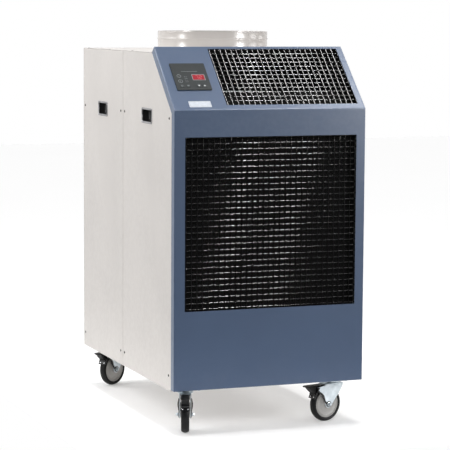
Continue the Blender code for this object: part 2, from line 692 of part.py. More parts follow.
def caster_meshes():
    """Meshes that the four casters share, each in the frame of the node's own origin."""
    tread_half = TREAD_WIDE / 2
    tyre_in = 0.0500
    tyre = [(tyre_in, tread_half - 0.0030), (0.0590, tread_half), (WHEEL_R, 0.0075), (WHEEL_R, -0.0075),
            (0.0590, -tread_half), (tyre_in, 0.0030 - tread_half)]
    rim = tyre_in - GAP
    hub_out = tread_half - 0.0040
    bore = AXLE_R + 0.0004
    hub = [(bore, 0.0168), (0.0130, 0.0168), (0.0150, 0.0100), (rim, hub_out),
           (rim, -hub_out), (0.0150, -0.0100), (0.0130, -0.0168), (bore, -0.0168)]
    pedal = outline_mesh("caster_pedal", [(x - PEDAL_PIVOT[0], z - PEDAL_PIVOT[1])
                                          for x, z in pedal_outline()], 0.0165)
    return {
        "tyre": turned_mesh("caster_tyre", tyre),
        "hub": turned_mesh("caster_hub", hub),
        "pedal": pedal,
        "axle": rod_mesh("caster_axle", AXLE_R, 0.0660, 16),
        "fork": outline_mesh("caster_fork", fork_outline(), FORK_OUT),
        "plate": box_mesh("caster_plate", (-0.050, -0.0425, 0.1497), (0.050, 0.0425, BASE_Z - GAP)),
    }


def caster(name, meshes):
    """One swivel caster: top plate, fork, axle, hub, tyre and brake pedal."""
    stand, turn = caster_place(name)
    swivel = stand @ turn
    across = Matrix.Rotation(-math.pi / 2, 4, "X")
    wheel_place = swivel @ at(TRAIL, 0.0, WHEEL_R) @ across

    plate = add_part(name + "_caster_plate", meshes["plate"], "zinc", stand)
    race = rod_mesh(name + "_upper_race", CROWN_R, 0.0090, 24, False)
    boolean(plate, add_cutter(name + "_upper_race", race, stand @ at(0.0, 0.0, 0.1455)), "UNION")

    fork = add_part(name + "_caster_fork", meshes["fork"], "zinc", swivel)
    cut_box(fork, name + "_wheel_space", (-0.10, -FORK_IN, 0.0), (0.10, FORK_IN, 0.1318), swivel)
    cut_box(fork, name + "_pedal_space", (0.043, -FORK_IN, 0.1), (0.10, FORK_IN, 0.2), swivel)
    bore = rod_mesh(name + "_axle_bore", AXLE_R + GAP, 0.1, 16, False)
    boolean(fork, add_cutter(name + "_axle_bore", bore, wheel_place))
    crown = rod_mesh(name + "_lower_race", CROWN_R, 0.0060, 24, False)
    boolean(fork, add_cutter(name + "_lower_race", crown, swivel @ at(0.0, 0.0, 0.1373)), "UNION")

    axle = add_part(name + "_caster_axle", meshes["axle"], "zinc", wheel_place)
    for side in (-1, 1):
        washer = rod_mesh(name + "_washer", 0.0100, 0.0034, 20, False)
        reach = side * (FORK_OUT + GAP + 0.0017)
        boolean(axle, add_cutter(name + "_washer", washer, wheel_place @ at(0.0, 0.0, reach)), "UNION")
        nut = rod_mesh(name + "_nut", 0.0072, 0.0070, 6, False)
        reach = side * (FORK_OUT + GAP + 0.0065)
        boolean(axle, add_cutter(name + "_nut", nut, wheel_place @ at(0.0, 0.0, reach)), "UNION")

    hub = add_part(name + "_wheel_hub", meshes["hub"], "hub", wheel_place)
    screw(hub, 24)
    tyre = add_part(name + "_wheel_tyre", meshes["tyre"], "rubber", wheel_place)
    screw(tyre, 32)
    pivot = at(PEDAL_PIVOT[0], 0.0, PEDAL_PIVOT[1])
    pedal = add_part(name + "_brake_pedal", meshes["pedal"], "black_plastic", swivel @ pivot)
    bevel(pedal, 0.0008, 1, 40)


# ---------------------------------------------------------------- assembly
def build():
    base_pan()
    center_bulkhead()
    front_end = SEAM_Y - GAP / 2
    rear_start = SEAM_Y + GAP / 2
    rear_end = REAR_Y - SHEET - GAP
    for side, label in ((-1, "left"), (1, "right")):
        front_handle = FRONT_Y + HANDLE_FRONT
        rear_handle = FRONT_Y + HANDLE_REAR
        side_panel(label + "_front_panel", side, FRONT_Y, front_end, True, front_handle)
        side_panel(label + "_rear_panel", side, rear_start, rear_end, False, rear_handle)
        handle_cup(label + "_front_handle_cup", side, front_handle)
        handle_cup(label + "_rear_handle_cup", side, rear_handle)
    top_panel()
    rear_panel()
    front_cover()
    grilles()
    duct_collar()
    control_panel()
    inside()
    cord_gland()
    meshes = caster_meshes()
    for name in CASTER_HEADING:
        caster(name, meshes)


build()
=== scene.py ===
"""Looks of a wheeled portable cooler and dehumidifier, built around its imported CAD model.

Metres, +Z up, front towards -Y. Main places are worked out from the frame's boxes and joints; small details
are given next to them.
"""

import json
import math

import bmesh
import bpy
from mathutils import Matrix, Vector


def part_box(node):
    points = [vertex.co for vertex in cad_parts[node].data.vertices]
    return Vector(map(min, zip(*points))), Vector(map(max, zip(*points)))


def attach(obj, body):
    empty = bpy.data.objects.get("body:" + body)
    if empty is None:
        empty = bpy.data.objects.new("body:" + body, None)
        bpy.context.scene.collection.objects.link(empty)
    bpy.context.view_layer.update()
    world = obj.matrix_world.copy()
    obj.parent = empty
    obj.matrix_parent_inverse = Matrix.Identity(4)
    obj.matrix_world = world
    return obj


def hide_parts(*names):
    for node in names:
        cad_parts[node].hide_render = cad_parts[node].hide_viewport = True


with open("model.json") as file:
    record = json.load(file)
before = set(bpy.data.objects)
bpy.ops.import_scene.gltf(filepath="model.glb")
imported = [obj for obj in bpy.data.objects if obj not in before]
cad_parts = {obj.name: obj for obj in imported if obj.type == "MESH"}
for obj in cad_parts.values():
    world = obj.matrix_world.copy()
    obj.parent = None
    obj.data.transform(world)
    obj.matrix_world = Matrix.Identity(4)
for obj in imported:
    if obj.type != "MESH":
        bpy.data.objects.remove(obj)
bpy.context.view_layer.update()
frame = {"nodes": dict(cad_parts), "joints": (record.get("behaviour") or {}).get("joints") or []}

JOINTS = {joint["name"]: joint for joint in frame["joints"]}
CASTERS = ("front_left", "front_right", "rear_left", "rear_right")
SIDES = ((-1, "left"), (1, "right"))
KEYS = {"key_power": "power_button", "key_mode": "mode_button", "key_down": "down_button",
        "key_up": "up_button"}

# ---------------------------------------------------------------- sizes of the visible detail
SHEET = 0.0016                           # sheet metal
INK = 0.00015                            # a printed or stuck-on layer
BEND = 0.0028                            # outside radius of a folded sheet edge
PLATE_GAP = 0.0003                       # glue under the control plate
RIM = 0.012                              # how far a grille runs behind the edge of its opening
WIRE_PITCH = 0.02036                     # welded mesh
WIRE_R = 0.0016
WIRE_BACK = SHEET + 0.0005 + WIRE_R      # from the sheet's face back to the upright wires' axes
RETURN_ROW = 0.0070                      # the lowest level wire above the return opening's edge

# ---------------------------------------------------------------- places read from the frame
COVER_LOW, COVER_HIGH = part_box("front_cover")
HALF, FACE_Y, SKIN_Z = COVER_HIGH.x, COVER_LOW.y, COVER_LOW.z
FRONT_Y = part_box("left_front_panel")[0].y
REAR_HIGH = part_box("rear_panel")[1]
REAR_Y, TOP_Z = REAR_HIGH.y, REAR_HIGH.z + SHEET


def node_points(node):
    return [vertex.co.copy() for vertex in frame["nodes"][node].data.vertices]


SLOPE_NORMAL = -Vector(JOINTS["key_power_press"]["axis"]).normalized()
LEAN = math.atan2(SLOPE_NORMAL.z, -SLOPE_NORMAL.y)
SLOPE_REACH = min(SLOPE_NORMAL.dot(p) for p in node_points("control_plate")) - PLATE_GAP
BEND_OUT_Z = (SLOPE_REACH - SLOPE_NORMAL.y * FACE_Y) / SLOPE_NORMAL.z
SLOPE = Matrix.Translation((0.0, FACE_Y, BEND_OUT_Z)) @ Matrix.Rotation(math.pi / 2 - LEAN, 4, "X")


def slope_box(node):
    """Lowest and highest corner of a node in the slope's own frame: across, up the slope, outwards."""
    inverse = SLOPE.inverted()
    points = [inverse @ p for p in node_points(node)]
    low = Vector(min(p[i] for p in points) for i in range(3))
    high = Vector(max(p[i] for p in points) for i in range(3))
    return low, high


def opening(low, high):
    """The two corners of the hole in front of a grille, in the grille's plane."""
    return (low[0] + RIM, low[1] + RIM), (high[0] - RIM, high[1] - RIM)


SUPPLY_OPENING = opening(*slope_box("supply_grille"))
RETURN_OPENING = opening(*(corner.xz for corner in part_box("return_grille")))
REAR_OPENING = opening(*(corner.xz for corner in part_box("rear_grille")))


# ---------------------------------------------------------------- camera
CAMERA_AT = (-2.578, -6.8527, 1.4625)
CAMERA_TURNS = (20.85, 6.19, 0.346)      # to the right, down and rolled, in degrees
LENS_MM, SENSOR_MM = 158.31, 36.0


def add_camera():
    """Long lens, a little above the cabinet's top, on the left of its front."""
    yaw, pitch, roll = (math.radians(angle) for angle in CAMERA_TURNS)
    forward = Vector((math.sin(yaw) * math.cos(pitch), math.cos(yaw) * math.cos(pitch), -math.sin(pitch)))
    level = Vector((math.cos(yaw), -math.sin(yaw), 0.0))
    upright = level.cross(forward)
    right = level * math.cos(roll) + upright * math.sin(roll)
    up = upright * math.cos(roll) - level * math.sin(roll)
    data = bpy.data.cameras.new("camera")
    data.lens = LENS_MM
    data.sensor_width = SENSOR_MM
    data.clip_end = 200.0
    camera = add_object("camera", data)
    camera.matrix_world = at(*CAMERA_AT) @ Matrix((right, up, -forward)).transposed().to_4x4()
    bpy.context.scene.camera = camera


# ---------------------------------------------------------------- materials
LOOKS = {}


class Finish:
    """A node material under construction: one shader, object coordinates and small helpers."""

    def __init__(self, name, roughness, metallic=0.0):
        material = bpy.data.materials.new(name)
        material.use_nodes = True
        self.tree = material.node_tree
        self.shader = self.tree.nodes["Principled BSDF"]
        self.setting("Roughness", roughness)
        self.setting("Metallic", metallic)
        self.place = self.node("TexCoord").outputs["Object"]
        LOOKS[name] = material

    def node(self, kind, **settings):
        made = self.tree.nodes.new("ShaderNode" + kind)
        for key, value in settings.items():
            setattr(made, key, value)
        return made

    def link(self, source, target):
        self.tree.links.new(source, target)

    def setting(self, name, value):
        self.shader.inputs[name].default_value = value

    def stretched(self, scale):
        """Object coordinates scaled along each axis."""
        mapping = self.node("Mapping")
        mapping.inputs["Scale"].default_value = scale
        self.link(self.place, mapping.inputs["Vector"])
        return mapping.outputs["Vector"]

    def noise(self, scale, detail=3.0, vector=None):
        made = self.node("TexNoise")
        made.inputs["Scale"].default_value = scale
        made.inputs["Detail"].default_value = detail
        self.link(vector or self.place, made.inputs["Vector"])
        return made.outputs["Fac"]

    def cells(self, scale, output="Color"):
        made = self.node("TexVoronoi")
        made.inputs["Scale"].default_value = scale
        self.link(self.place, made.inputs["Vector"])
        return made.outputs[output]

    def spread(self, value, low, high, low_to, high_to):
        """Map a value's range to another, clamped."""
        made = self.node("MapRange")
        for name, number in (("From Min", low), ("From Max", high), ("To Min", low_to), ("To Max", high_to)):
            made.inputs[name].default_value = number
        self.link(value, made.inputs["Value"])
        return made.outputs["Result"]

    def clouds(self, scale, detail=3.0, low=0.3, high=0.7):
        """Noise between two levels, stretched to run from 0 to 1."""
        return self.spread(self.noise(scale, detail), low, high, 0.0, 1.0)

    def times(self, first, second):
        made = self.node("Math", operation="MULTIPLY")
        self.link(first, made.inputs[0])
        self.link(second, made.inputs[1])
        return made.outputs[0]

    def blend(self, factor, first, second):
        """Mix two colours, each a socket or a tuple."""
        made = self.node("Mix", data_type="RGBA")
        self.link(factor, made.inputs["Factor"])
        sockets = [s for s in made.inputs if s.type == "RGBA"]
        for socket, colour in zip(sockets, (first, second)):
            if isinstance(colour, tuple):
                socket.default_value = (*colour, 1.0)
            else:
                self.link(colour, socket)
        return [s for s in made.outputs if s.type == "RGBA"][0]

    def axis(self, source, letter):
        """One part of a vector or a colour."""
        made = self.node("SeparateXYZ")
        self.link(source, made.inputs[0])
        return made.outputs[letter]

    def bump(self, value, strength, distance=0.0003):
        made = self.node("Bump")
        made.inputs["Strength"].default_value = strength
        made.inputs["Distance"].default_value = distance
        self.link(value, made.inputs["Height"])
        self.link(made.outputs["Normal"], self.shader.inputs["Normal"])

    def colour(self, socket):
        self.link(socket, self.shader.inputs["Base Color"])

    def tones(self, factor, first, second):
        self.colour(self.blend(factor, first, second))

    def glow(self, factor, first, second, strength):
        self.link(self.blend(factor, first, second), self.shader.inputs["Emission Color"])
        self.setting("Emission Strength", strength)

    def roughness(self, value, low, high):
        self.link(self.spread(value, 0.3, 0.7, low, high), self.shader.inputs["Roughness"])


def tinted(colour, share):
    return tuple(channel * share for channel in colour)


def powder_coat(name, colour, rough, worn, dust=(0.46, 0.43, 0.39), dusty=0.10, peel=0.05):
    """Satin powder coat: fine orange peel, faint clouding, rubbed edges and dust low down."""
    look = Finish(name, rough)
    base = look.blend(look.clouds(5.0, 4.0), tinted(colour, 0.965), tinted(colour, 1.03))
    edges = look.node("NewGeometry").outputs["Pointiness"]
    rubbed = look.times(look.spread(edges, 0.53, 0.62, 0.0, 0.5), look.clouds(60.0, low=0.4, high=0.6))
    base = look.blend(rubbed, base, worn)
    low = look.spread(look.axis(look.place, "Z"), 0.16, 0.34, dusty, 0.0)
    base = look.blend(look.times(low, look.spread(look.noise(14.0, 5.0), 0.35, 0.7, 0.2, 1.0)), base, dust)
    look.colour(base)
    look.roughness(look.noise(30.0, 5.0), rough * 0.94, rough * 1.08)
    look.bump(look.noise(900.0, 2.0), peel)


def plated(name, dark, bright, rough):
    """Plated metal: soft blotches, a fine grain and duller patches."""
    look = Finish(name, rough, 1.0)
    look.tones(look.clouds(38.0, 4.0, 0.32, 0.68), dark, bright)
    look.roughness(look.noise(120.0, 4.0), rough - 0.07, rough + 0.12)
    look.bump(look.noise(650.0), 0.12)


def galvanised():
    """Hot-dip spangle: flat crystals of slightly different grey and gloss."""
    look = Finish("galvanised", 0.42, 1.0)
    crystals = look.cells(130.0)
    look.tones(look.axis(crystals, "X"), (0.42, 0.44, 0.45), (0.62, 0.64, 0.65))
    gloss = look.spread(look.axis(crystals, "Y"), 0.0, 1.0, 0.32, 0.52)
    look.link(gloss, look.shader.inputs["Roughness"])
    look.bump(look.noise(300.0), 0.05)


def moulded(name, colour, rough, grain=700.0, strength=0.25, metallic=0.0, tone=0.15, gloss=0.5):
    """Moulded plastic, rubber or enamel: fine texture, slight tone changes and scuffs."""
    look = Finish(name, rough, metallic)
    base = look.blend(look.clouds(24.0, 5.0), tinted(colour, 1.0 - tone), tinted(colour, 1.0 + tone))
    scuff = look.spread(look.noise(90.0, 6.0, look.stretched((1.0, 1.0, 3.0))), 0.62, 0.72, 0.0, 0.35)
    look.tones(scuff, base, tuple(channel * 1.6 + 0.002 for channel in colour))
    look.roughness(look.noise(40.0, 4.0), rough * 0.88, rough * 1.2)
    look.bump(look.noise(grain), strength)
    look.setting("Specular IOR Level", gloss)
    return look


def foam():
    """Open-cell filter medium, with painted shade in the pores' hollows; also the black of the outlet's
    painted-shade sheet.
    """
    look = Finish("filter_foam", 0.95)
    pores = look.cells(420.0, "Distance")
    # Painted shade: the pores' hollows, where the bump is low, are darker than the cell walls.
    look.tones(look.spread(pores, 0.1, 0.7, 0.0, 1.0), (0.0015, 0.0015, 0.0015), (0.007, 0.007, 0.007))
    look.bump(pores, 0.8, 0.0015)
    look.setting("Specular IOR Level", 0.1)


def fin_stock():
    look = Finish("fin_stock", 0.45, 1.0)
    look.tones(look.clouds(16.0, 4.0), (0.45, 0.46, 0.47), (0.66, 0.67, 0.68))
    look.bump(look.noise(240.0, 2.0, look.stretched((6.0, 6.0, 0.4))), 0.15, 0.0004)


def copper():
    look = Finish("copper_tube", 0.32, 1.0)
    look.tones(look.clouds(45.0, 5.0, 0.35, 0.65), (0.32, 0.14, 0.07), (0.72, 0.36, 0.20))
    look.bump(look.noise(400.0), 0.1)


def display_window():
    """Tinted acrylic over a lit display: a soft, slightly uneven glow."""
    look = Finish("display_window", 0.16)
    tone = look.clouds(210.0, 2.0, 0.35, 0.65)
    look.tones(tone, (0.22, 0.016, 0.022), (0.30, 0.028, 0.038))
    look.setting("Coat Weight", 0.5)
    look.glow(tone, (0.60, 0.05, 0.08), (0.9, 0.10, 0.14), 0.17)
    look.bump(look.noise(500.0), 0.02, 0.0002)


def lit_segments():
    look = Finish("lit_segments", 0.30)
    tone = look.clouds(300.0, 2.0)
    look.tones(tone, (0.50, 0.08, 0.09), (0.62, 0.13, 0.14))
    look.glow(tone, (0.9, 0.22, 0.26), (1.0, 0.36, 0.38), 0.25)


def printed(name, colour, rough=0.5):
    """Screen-printed ink or a foil label: slightly uneven, with a soft sheen."""
    look = Finish(name, rough)
    look.tones(look.clouds(150.0, 4.0), tinted(colour, 0.90), tinted(colour, 1.06))
    look.bump(look.noise(800.0), 0.08, 0.0002)


def all_materials():
    bare = (0.74, 0.71, 0.68)
    powder_coat("cabinet_paint", (0.640, 0.606, 0.578), 0.40, bare)
    powder_coat("collar_paint", (0.570, 0.540, 0.515), 0.22, bare, peel=0.006)
    powder_coat("cover_paint", (0.092, 0.134, 0.222), 0.30, (0.22, 0.28, 0.37), (0.30, 0.31, 0.33), 0.05)
    plated("zinc", (0.50, 0.56, 0.60), (0.74, 0.80, 0.84), 0.36)
    plated("bright_steel", (0.62, 0.64, 0.66), (0.82, 0.84, 0.86), 0.24)
    plated("handle_frame", (0.22, 0.22, 0.23), (0.42, 0.42, 0.43), 0.34)
    wire = moulded("black_wire", (0.0040, 0.0040, 0.0040), 0.10, 500.0, 0.004, gloss=1.0)
    wire.setting("IOR", 1.7)
    moulded("motor_enamel", (0.035, 0.036, 0.040), 0.38, 250.0, 0.15)
    moulded("black_plastic", (0.009, 0.009, 0.0095), 0.42)
    moulded("pedal_plastic", (0.0035, 0.0035, 0.0038), 0.45, 600.0, 0.15, gloss=0.25)
    moulded("black_steel", (0.0045, 0.0045, 0.005), 0.34, 300.0, 0.12)
    moulded("tyre_rubber", (0.0035, 0.0035, 0.0036), 0.50, 420.0, 0.25, gloss=0.25)
    moulded("wheel_core", (0.40, 0.39, 0.375), 0.46, 500.0, 0.18, tone=0.08)
    moulded("overlay", (0.016, 0.021, 0.022), 0.52, 900.0, 0.12, tone=0.06, gloss=0.25)
    moulded("key_cap", (0.022, 0.029, 0.030), 0.50, 900.0, 0.14, tone=0.08, gloss=0.25)
    moulded("screw_black", (0.030, 0.028, 0.027), 0.35, 600.0, 0.12, 0.6)
    printed("grey_ink", (0.30, 0.33, 0.34))
    printed("pale_ink", (0.62, 0.64, 0.66))
    printed("foil_label", (0.66, 0.70, 0.76), 0.34)
    for make in (galvanised, fin_stock, copper, foam, display_window, lit_segments):
        make()


# ---------------------------------------------------------------- object and modifier helpers
def add_object(name, data):
    made = bpy.data.objects.new(name, data)
    bpy.context.scene.collection.objects.link(made)
    return made


def new_mesh(name, bm, look, angle=35.0):
    """A smooth mesh from a bmesh, sharp past an angle, with one look or a tuple of them."""
    mesh = bpy.data.meshes.new(name)
    bm.to_mesh(mesh)
    bm.free()
    mesh.shade_smooth()
    mesh.set_sharp_from_angle(angle=math.radians(angle))
    for each in (look if isinstance(look, tuple) else (look,)):
        mesh.materials.append(LOOKS[each])
    return mesh


def piece_with(name, mesh, body, stands_for):
    """A named piece that rides on a body and may stand for CAD nodes."""
    piece = add_object(name, mesh)
    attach(piece, body)
    if stands_for:
        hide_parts(*stands_for)
    return piece


def piece_from(name, bm, look, body, stands_for=(), angle=35.0):
    """piece_with for a bmesh that is still to become a mesh."""
    return piece_with(name, new_mesh(name, bm, look, angle), body, stands_for)


def bevel(piece, width, segments, angle=30.0):
    mod = piece.modifiers.new("rounded_edges", "BEVEL")
    mod.width = width
    mod.segments = segments
    mod.limit_method = "ANGLE"
    mod.angle_limit = math.radians(angle)
    mod.use_clamp_overlap = True


def solidify(piece, thickness, offset=-1.0, even=True):
    mod = piece.modifiers.new("thickness", "SOLIDIFY")
    mod.thickness = thickness
    mod.offset = offset
    mod.use_even_offset = even
    mod.use_quality_normals = True


def level_normals(piece):
    """Keep large flat faces flat next to rounded edges."""
    mod = piece.modifiers.new("level_normals", "WEIGHTED_NORMAL")
    mod.weight = 80
    mod.keep_sharp = True


def soft_edges(piece, width, segments=2):
    bevel(piece, width, segments)
    level_normals(piece)


def cut(piece, cutter_bm, name):
    """Boolean cut with a cutter that apply_all removes again."""
    mesh = bpy.data.meshes.new(name)
    cutter_bm.to_mesh(mesh)
    cutter_bm.free()
    cutter = add_object(name, mesh)
    mod = piece.modifiers.new(name, "BOOLEAN")
    mod.operation = "DIFFERENCE"
    mod.object = cutter
    return cutter


def apply_all(piece, cutters=()):
    """Bake the modifiers into the mesh and drop the cutters."""
    bpy.context.view_layer.update()
    evaluated = piece.evaluated_get(bpy.context.evaluated_depsgraph_get())
    mesh = bpy.data.meshes.new_from_object(evaluated)
    old = piece.data
    piece.modifiers.clear()
    piece.data = mesh
    bpy.data.meshes.remove(old)
    for cutter in cutters:
        bpy.data.objects.remove(cutter, do_unlink=True)


# ---------------------------------------------------------------- shape helpers
def at(x, y, z):
    return Matrix.Translation((x, y, z))


def turn(degrees, axis):
    return Matrix.Rotation(math.radians(degrees), 4, axis)


UPRIGHT = turn(90, "X")                  # local XY becomes world XZ, local Z becomes world -Y
FLAT = Matrix.Identity(4)


def arc(centre, radius, start, end, steps):
    """Points of an arc, angles in degrees."""
    angles = [math.radians(start + (end - start) * i / steps) for i in range(steps + 1)]
    return [(centre[0] + radius * math.cos(a), centre[1] + radius * math.sin(a)) for a in angles]


def rounded_outline(low, high, radius, steps=4):
    """A rectangle with round corners, as points that run anticlockwise."""
    points = []
    corners = ((high[0] - radius, low[1] + radius, -90), (high[0] - radius, high[1] - radius, 0),
               (low[0] + radius, high[1] - radius, 90), (low[0] + radius, low[1] + radius, 180))
    for x, y, start in corners:
        points += arc((x, y), radius, start, start + 90, steps)
    return points


def grown(low, high, by):
    """A rectangle's corners moved outwards, or inwards for a negative distance."""
    return (low[0] - by, low[1] - by), (high[0] + by, high[1] + by)


def mirrored(profile):
    """A half profile followed by its mirror image in the plane of the turning."""
    return profile + [(radius, -height) for radius, height in reversed(profile)]


def add_loop(bm, outline, height, place=FLAT):
    return [bm.verts.new(place @ Vector((x, y, height))) for x, y in outline]


def bridge(bm, first, second):
    """A closed band of quads between two loops of the same length."""
    count = len(first)
    faces = []
    for index in range(count):
        after = (index + 1) % count
        faces.append(bm.faces.new((first[index], first[after], second[after], second[index])))
    return faces


def bridge_round(bm, loops):
    """Bands from each loop to the next, and from the last back to the first."""
    for first, second in zip(loops, loops[1:] + loops[:1]):
        bridge(bm, first, second)


def add_prism(bm, outline, bottom, top, place=FLAT):
    """An outline in XY raised along Z between two heights."""
    lower = add_loop(bm, outline, bottom, place)
    upper = add_loop(bm, outline, top, place)
    bm.faces.new(list(reversed(lower)))
    bm.faces.new(upper)
    bridge(bm, lower, upper)


def add_ring_plate(bm, outer, inner, bottom, top, place=FLAT):
    """A flat ring between two outlines with the same number of points."""
    levels = ((outer, bottom), (outer, top), (inner, top), (inner, bottom))
    bridge_round(bm, [add_loop(bm, outline, height, place) for outline, height in levels])


def add_turned(bm, profile, steps, place=FLAT, closed=False):
    """A (radius, height) profile turned about Z. An open profile starts and ends on the axis."""
    on_axis = 1e-6
    angles = [2 * math.pi * i / steps for i in range(steps)]
    rings = []
    for radius, height in profile:
        turning = angles if radius > on_axis else [0.0]
        spots = [(radius * math.cos(a), radius * math.sin(a)) for a in turning]
        rings.append(add_loop(bm, spots, height, place))
    pairs = list(zip(rings, rings[1:]))
    if closed:
        pairs.append((rings[-1], rings[0]))
    for upper, lower in pairs:
        for index in range(steps):
            after = (index + 1) % steps
            corners = [upper[index % len(upper)], lower[index % len(lower)],
                       lower[after % len(lower)], upper[after % len(upper)]]
            unique = list(dict.fromkeys(corners))
            if len(unique) > 2:
                bm.faces.new(unique)


def add_plug(bm, radius, half_high, steps, place):
    """A solid disc, for cutting a round hole."""
    profile = [(0.0, half_high), (radius, half_high), (radius, -half_high), (0.0, -half_high)]
    add_turned(bm, profile, steps, place)


def add_rod(bm, start, end, radius, sides):
    """A capped round rod between two points."""
    start, end = Vector(start), Vector(end)
    place = at(*start) @ (end - start).to_track_quat("Z", "Y").to_matrix().to_4x4()
    length = (end - start).length
    add_turned(bm, [(0.0, length), (radius, length), (radius, 0.0), (0.0, 0.0)], sides, place)


def add_screw(bm, place, radius, high):
    """A button head with a socket, standing on its seat along local Z."""
    shares = ((0.0, 0.35), (0.36, 0.40), (0.42, 0.92), (0.70, 0.84), (0.93, 0.50), (1.0, 0.12), (1.0, 0.0),
              (0.0, 0.0))
    add_turned(bm, [(radius * wide, high * up) for wide, up in shares], 20, place)


def smooth_line(marks, steps):
    """A Catmull-Rom curve through the marks."""
    points = [marks[0]] + marks + [marks[-1]]
    line = []
    for a, b, c, d in zip(points, points[1:], points[2:], points[3:]):
        for index in range(steps):
            t = index / steps
            line.append(0.5 * (2 * b + (c - a) * t + (2 * a - 5 * b + 4 * c - d) * t * t
                               + (3 * b - a - 3 * c + d) * t ** 3))
    return line + [marks[-1]]


def box_bm(low, high):
    bm = bmesh.new()
    size = Vector(high) - Vector(low)
    middle = (Vector(high) + Vector(low)) / 2
    bmesh.ops.create_cube(bm, size=1.0, matrix=Matrix.Translation(middle) @ Matrix.Diagonal((*size, 1.0)))
    return bm


# ---------------------------------------------------------------- cabinet shell
def cut_opening(piece, name, corners, radius, depth, place):
    """Cut a round-cornered hole in the XY plane of place, to a depth on both sides of it."""
    bm = bmesh.new()
    add_prism(bm, rounded_outline(*corners, radius), -depth, depth, place)
    return cut(piece, bm, name)


def front_cover():
    """One folded sheet: upright face, slope, returned sides, bottom and top end, two openings."""
    along = Vector((math.sin(LEAN), math.cos(LEAN)))
    out = Vector((-math.cos(LEAN), math.sin(LEAN)))
    corner = Vector((FACE_Y, BEND_OUT_Z))
    seam = 0.0003
    depth = FRONT_Y - seam - FACE_Y
    end = corner + along * (COVER_HIGH.z - BEND_OUT_Z) / along.y
    bend_in_z = BEND_OUT_Z - depth * math.tan(LEAN / 2)
    outer = [Vector((FACE_Y, SKIN_Z)), corner, end]
    inner = [Vector((FACE_Y + depth, SKIN_Z)), Vector((FACE_Y + depth, bend_in_z)), end - out * depth]
    bm = bmesh.new()
    left_out, left_in, right_out, right_in = ([bm.verts.new((side * HALF, p.x, p.y)) for p in line]
                                              for side in (-1, 1) for line in (outer, inner))
    for i in (0, 1):
        bm.faces.new((left_out[i], right_out[i], right_out[i + 1], left_out[i + 1]))
        bm.faces.new((left_in[i], left_out[i], left_out[i + 1], left_in[i + 1]))
        bm.faces.new((right_out[i], right_in[i], right_in[i + 1], right_out[i + 1]))
    bm.faces.new((left_in[0], right_in[0], right_out[0], left_out[0]))
    bm.faces.new((left_out[2], right_out[2], right_in[2], left_in[2]))
    cover = piece_from("cover_shell", bm, "cover_paint", "cabinet", ["front_cover"])
    bevel(cover, BEND, 4, 40)
    solidify(cover, SHEET)
    face = at(0.0, FACE_Y, 0.0) @ UPRIGHT
    cutters = [cut_opening(cover, "return_cut", RETURN_OPENING, 0.003, 0.01, face),
               cut_opening(cover, "supply_cut", SUPPLY_OPENING, 0.003, 0.01, SLOPE)]
    apply_all(cover, cutters)
    level_normals(cover)


def side_panel(node, side, leaning):
    """A flat side with returned, rounded edges and the handle's hole."""
    low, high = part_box(node)
    outline = [(low.y, low.z), (high.y, low.z), (high.y, high.z), (low.y, high.z)]
    if leaning:
        bend_in_z = BEND_OUT_Z - (FRONT_Y - FACE_Y) * math.tan(LEAN / 2)
        slope_y = low.y + (high.z - bend_in_z) * math.tan(LEAN)
        outline = outline[:3] + [(slope_y, high.z), (low.y, bend_in_z)]
    returned = 0.018
    bm = bmesh.new()
    outer = [bm.verts.new((side * HALF, y, z)) for y, z in outline]
    inner = [bm.verts.new((side * (HALF - returned), y, z)) for y, z in outline]
    bm.faces.new(outer)
    for index in range(1, len(outline)):
        after = (index + 1) % len(outline)
        bm.faces.new((outer[after], outer[index], inner[index], inner[after]))
    if side < 0:
        bmesh.ops.reverse_faces(bm, faces=bm.faces)
    panel = piece_from(node + "_skin", bm, "cabinet_paint", "cabinet", [node])
    bevel(panel, BEND, 3, 20)
    solidify(panel, SHEET)
    cup_low, cup_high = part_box(node.replace("panel", "handle_cup"))
    lip = 0.0055
    hole = grown(cup_low.yz, cup_high.yz, -lip)
    face = at(side * HALF, 0.0, 0.0) @ turn(90, "Z") @ UPRIGHT
    apply_all(panel, [cut_opening(panel, node + "_cut", hole, 0.004, 0.01, face)])
    level_normals(panel)


def handle_cup(node, side):
    """A pressed cup with a bright frame: rounded lip, tapering pocket and a finger edge."""
    low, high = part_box(node)
    middle = (low + high) / 2
    wide, tall = high.y - middle.y, high.z - middle.z
    depth = high.x - low.x - 0.0016
    proud = side * max(abs(low.x), abs(high.x))
    frame_bands = 5
    # inset across, inset up, height, corner radius
    rings = [(0.0, 0.0, -0.0016, 0.0050), (0.0004, 0.0004, -0.0004, 0.0048),
             (0.0014, 0.0014, 0.0, 0.0042), (0.0050, 0.0050, 0.0, 0.0036),
             (0.0064, 0.0064, -0.0010, 0.0034), (0.0074, 0.0074, -0.0040, 0.0032),
             (0.0100, 0.0084, -depth * 0.80, 0.0040), (0.0130, 0.0100, -depth * 0.96, 0.0050),
             (0.0190, 0.0150, -depth, 0.0050)]
    place = at(proud, middle.y, middle.z) @ turn(90 * side, "Z") @ UPRIGHT
    bm = bmesh.new()
    loops = []
    for inset_y, inset_z, x, radius in rings:
        outline = rounded_outline((inset_y - wide, inset_z - tall), (wide - inset_y, tall - inset_z), radius)
        loops.append(add_loop(bm, outline, x, place))
    for row, (outer, inner) in enumerate(zip(loops, loops[1:])):
        for face in bridge(bm, outer, inner):
            face.material_index = 1 if row >= frame_bands else 0
    bm.faces.new(loops[-1]).material_index = 1
    cup = piece_from(node + "_pressing", bm, ("handle_frame", "black_plastic"), "cabinet", [node],
                     50.0)
    solidify(cup, 0.0009)


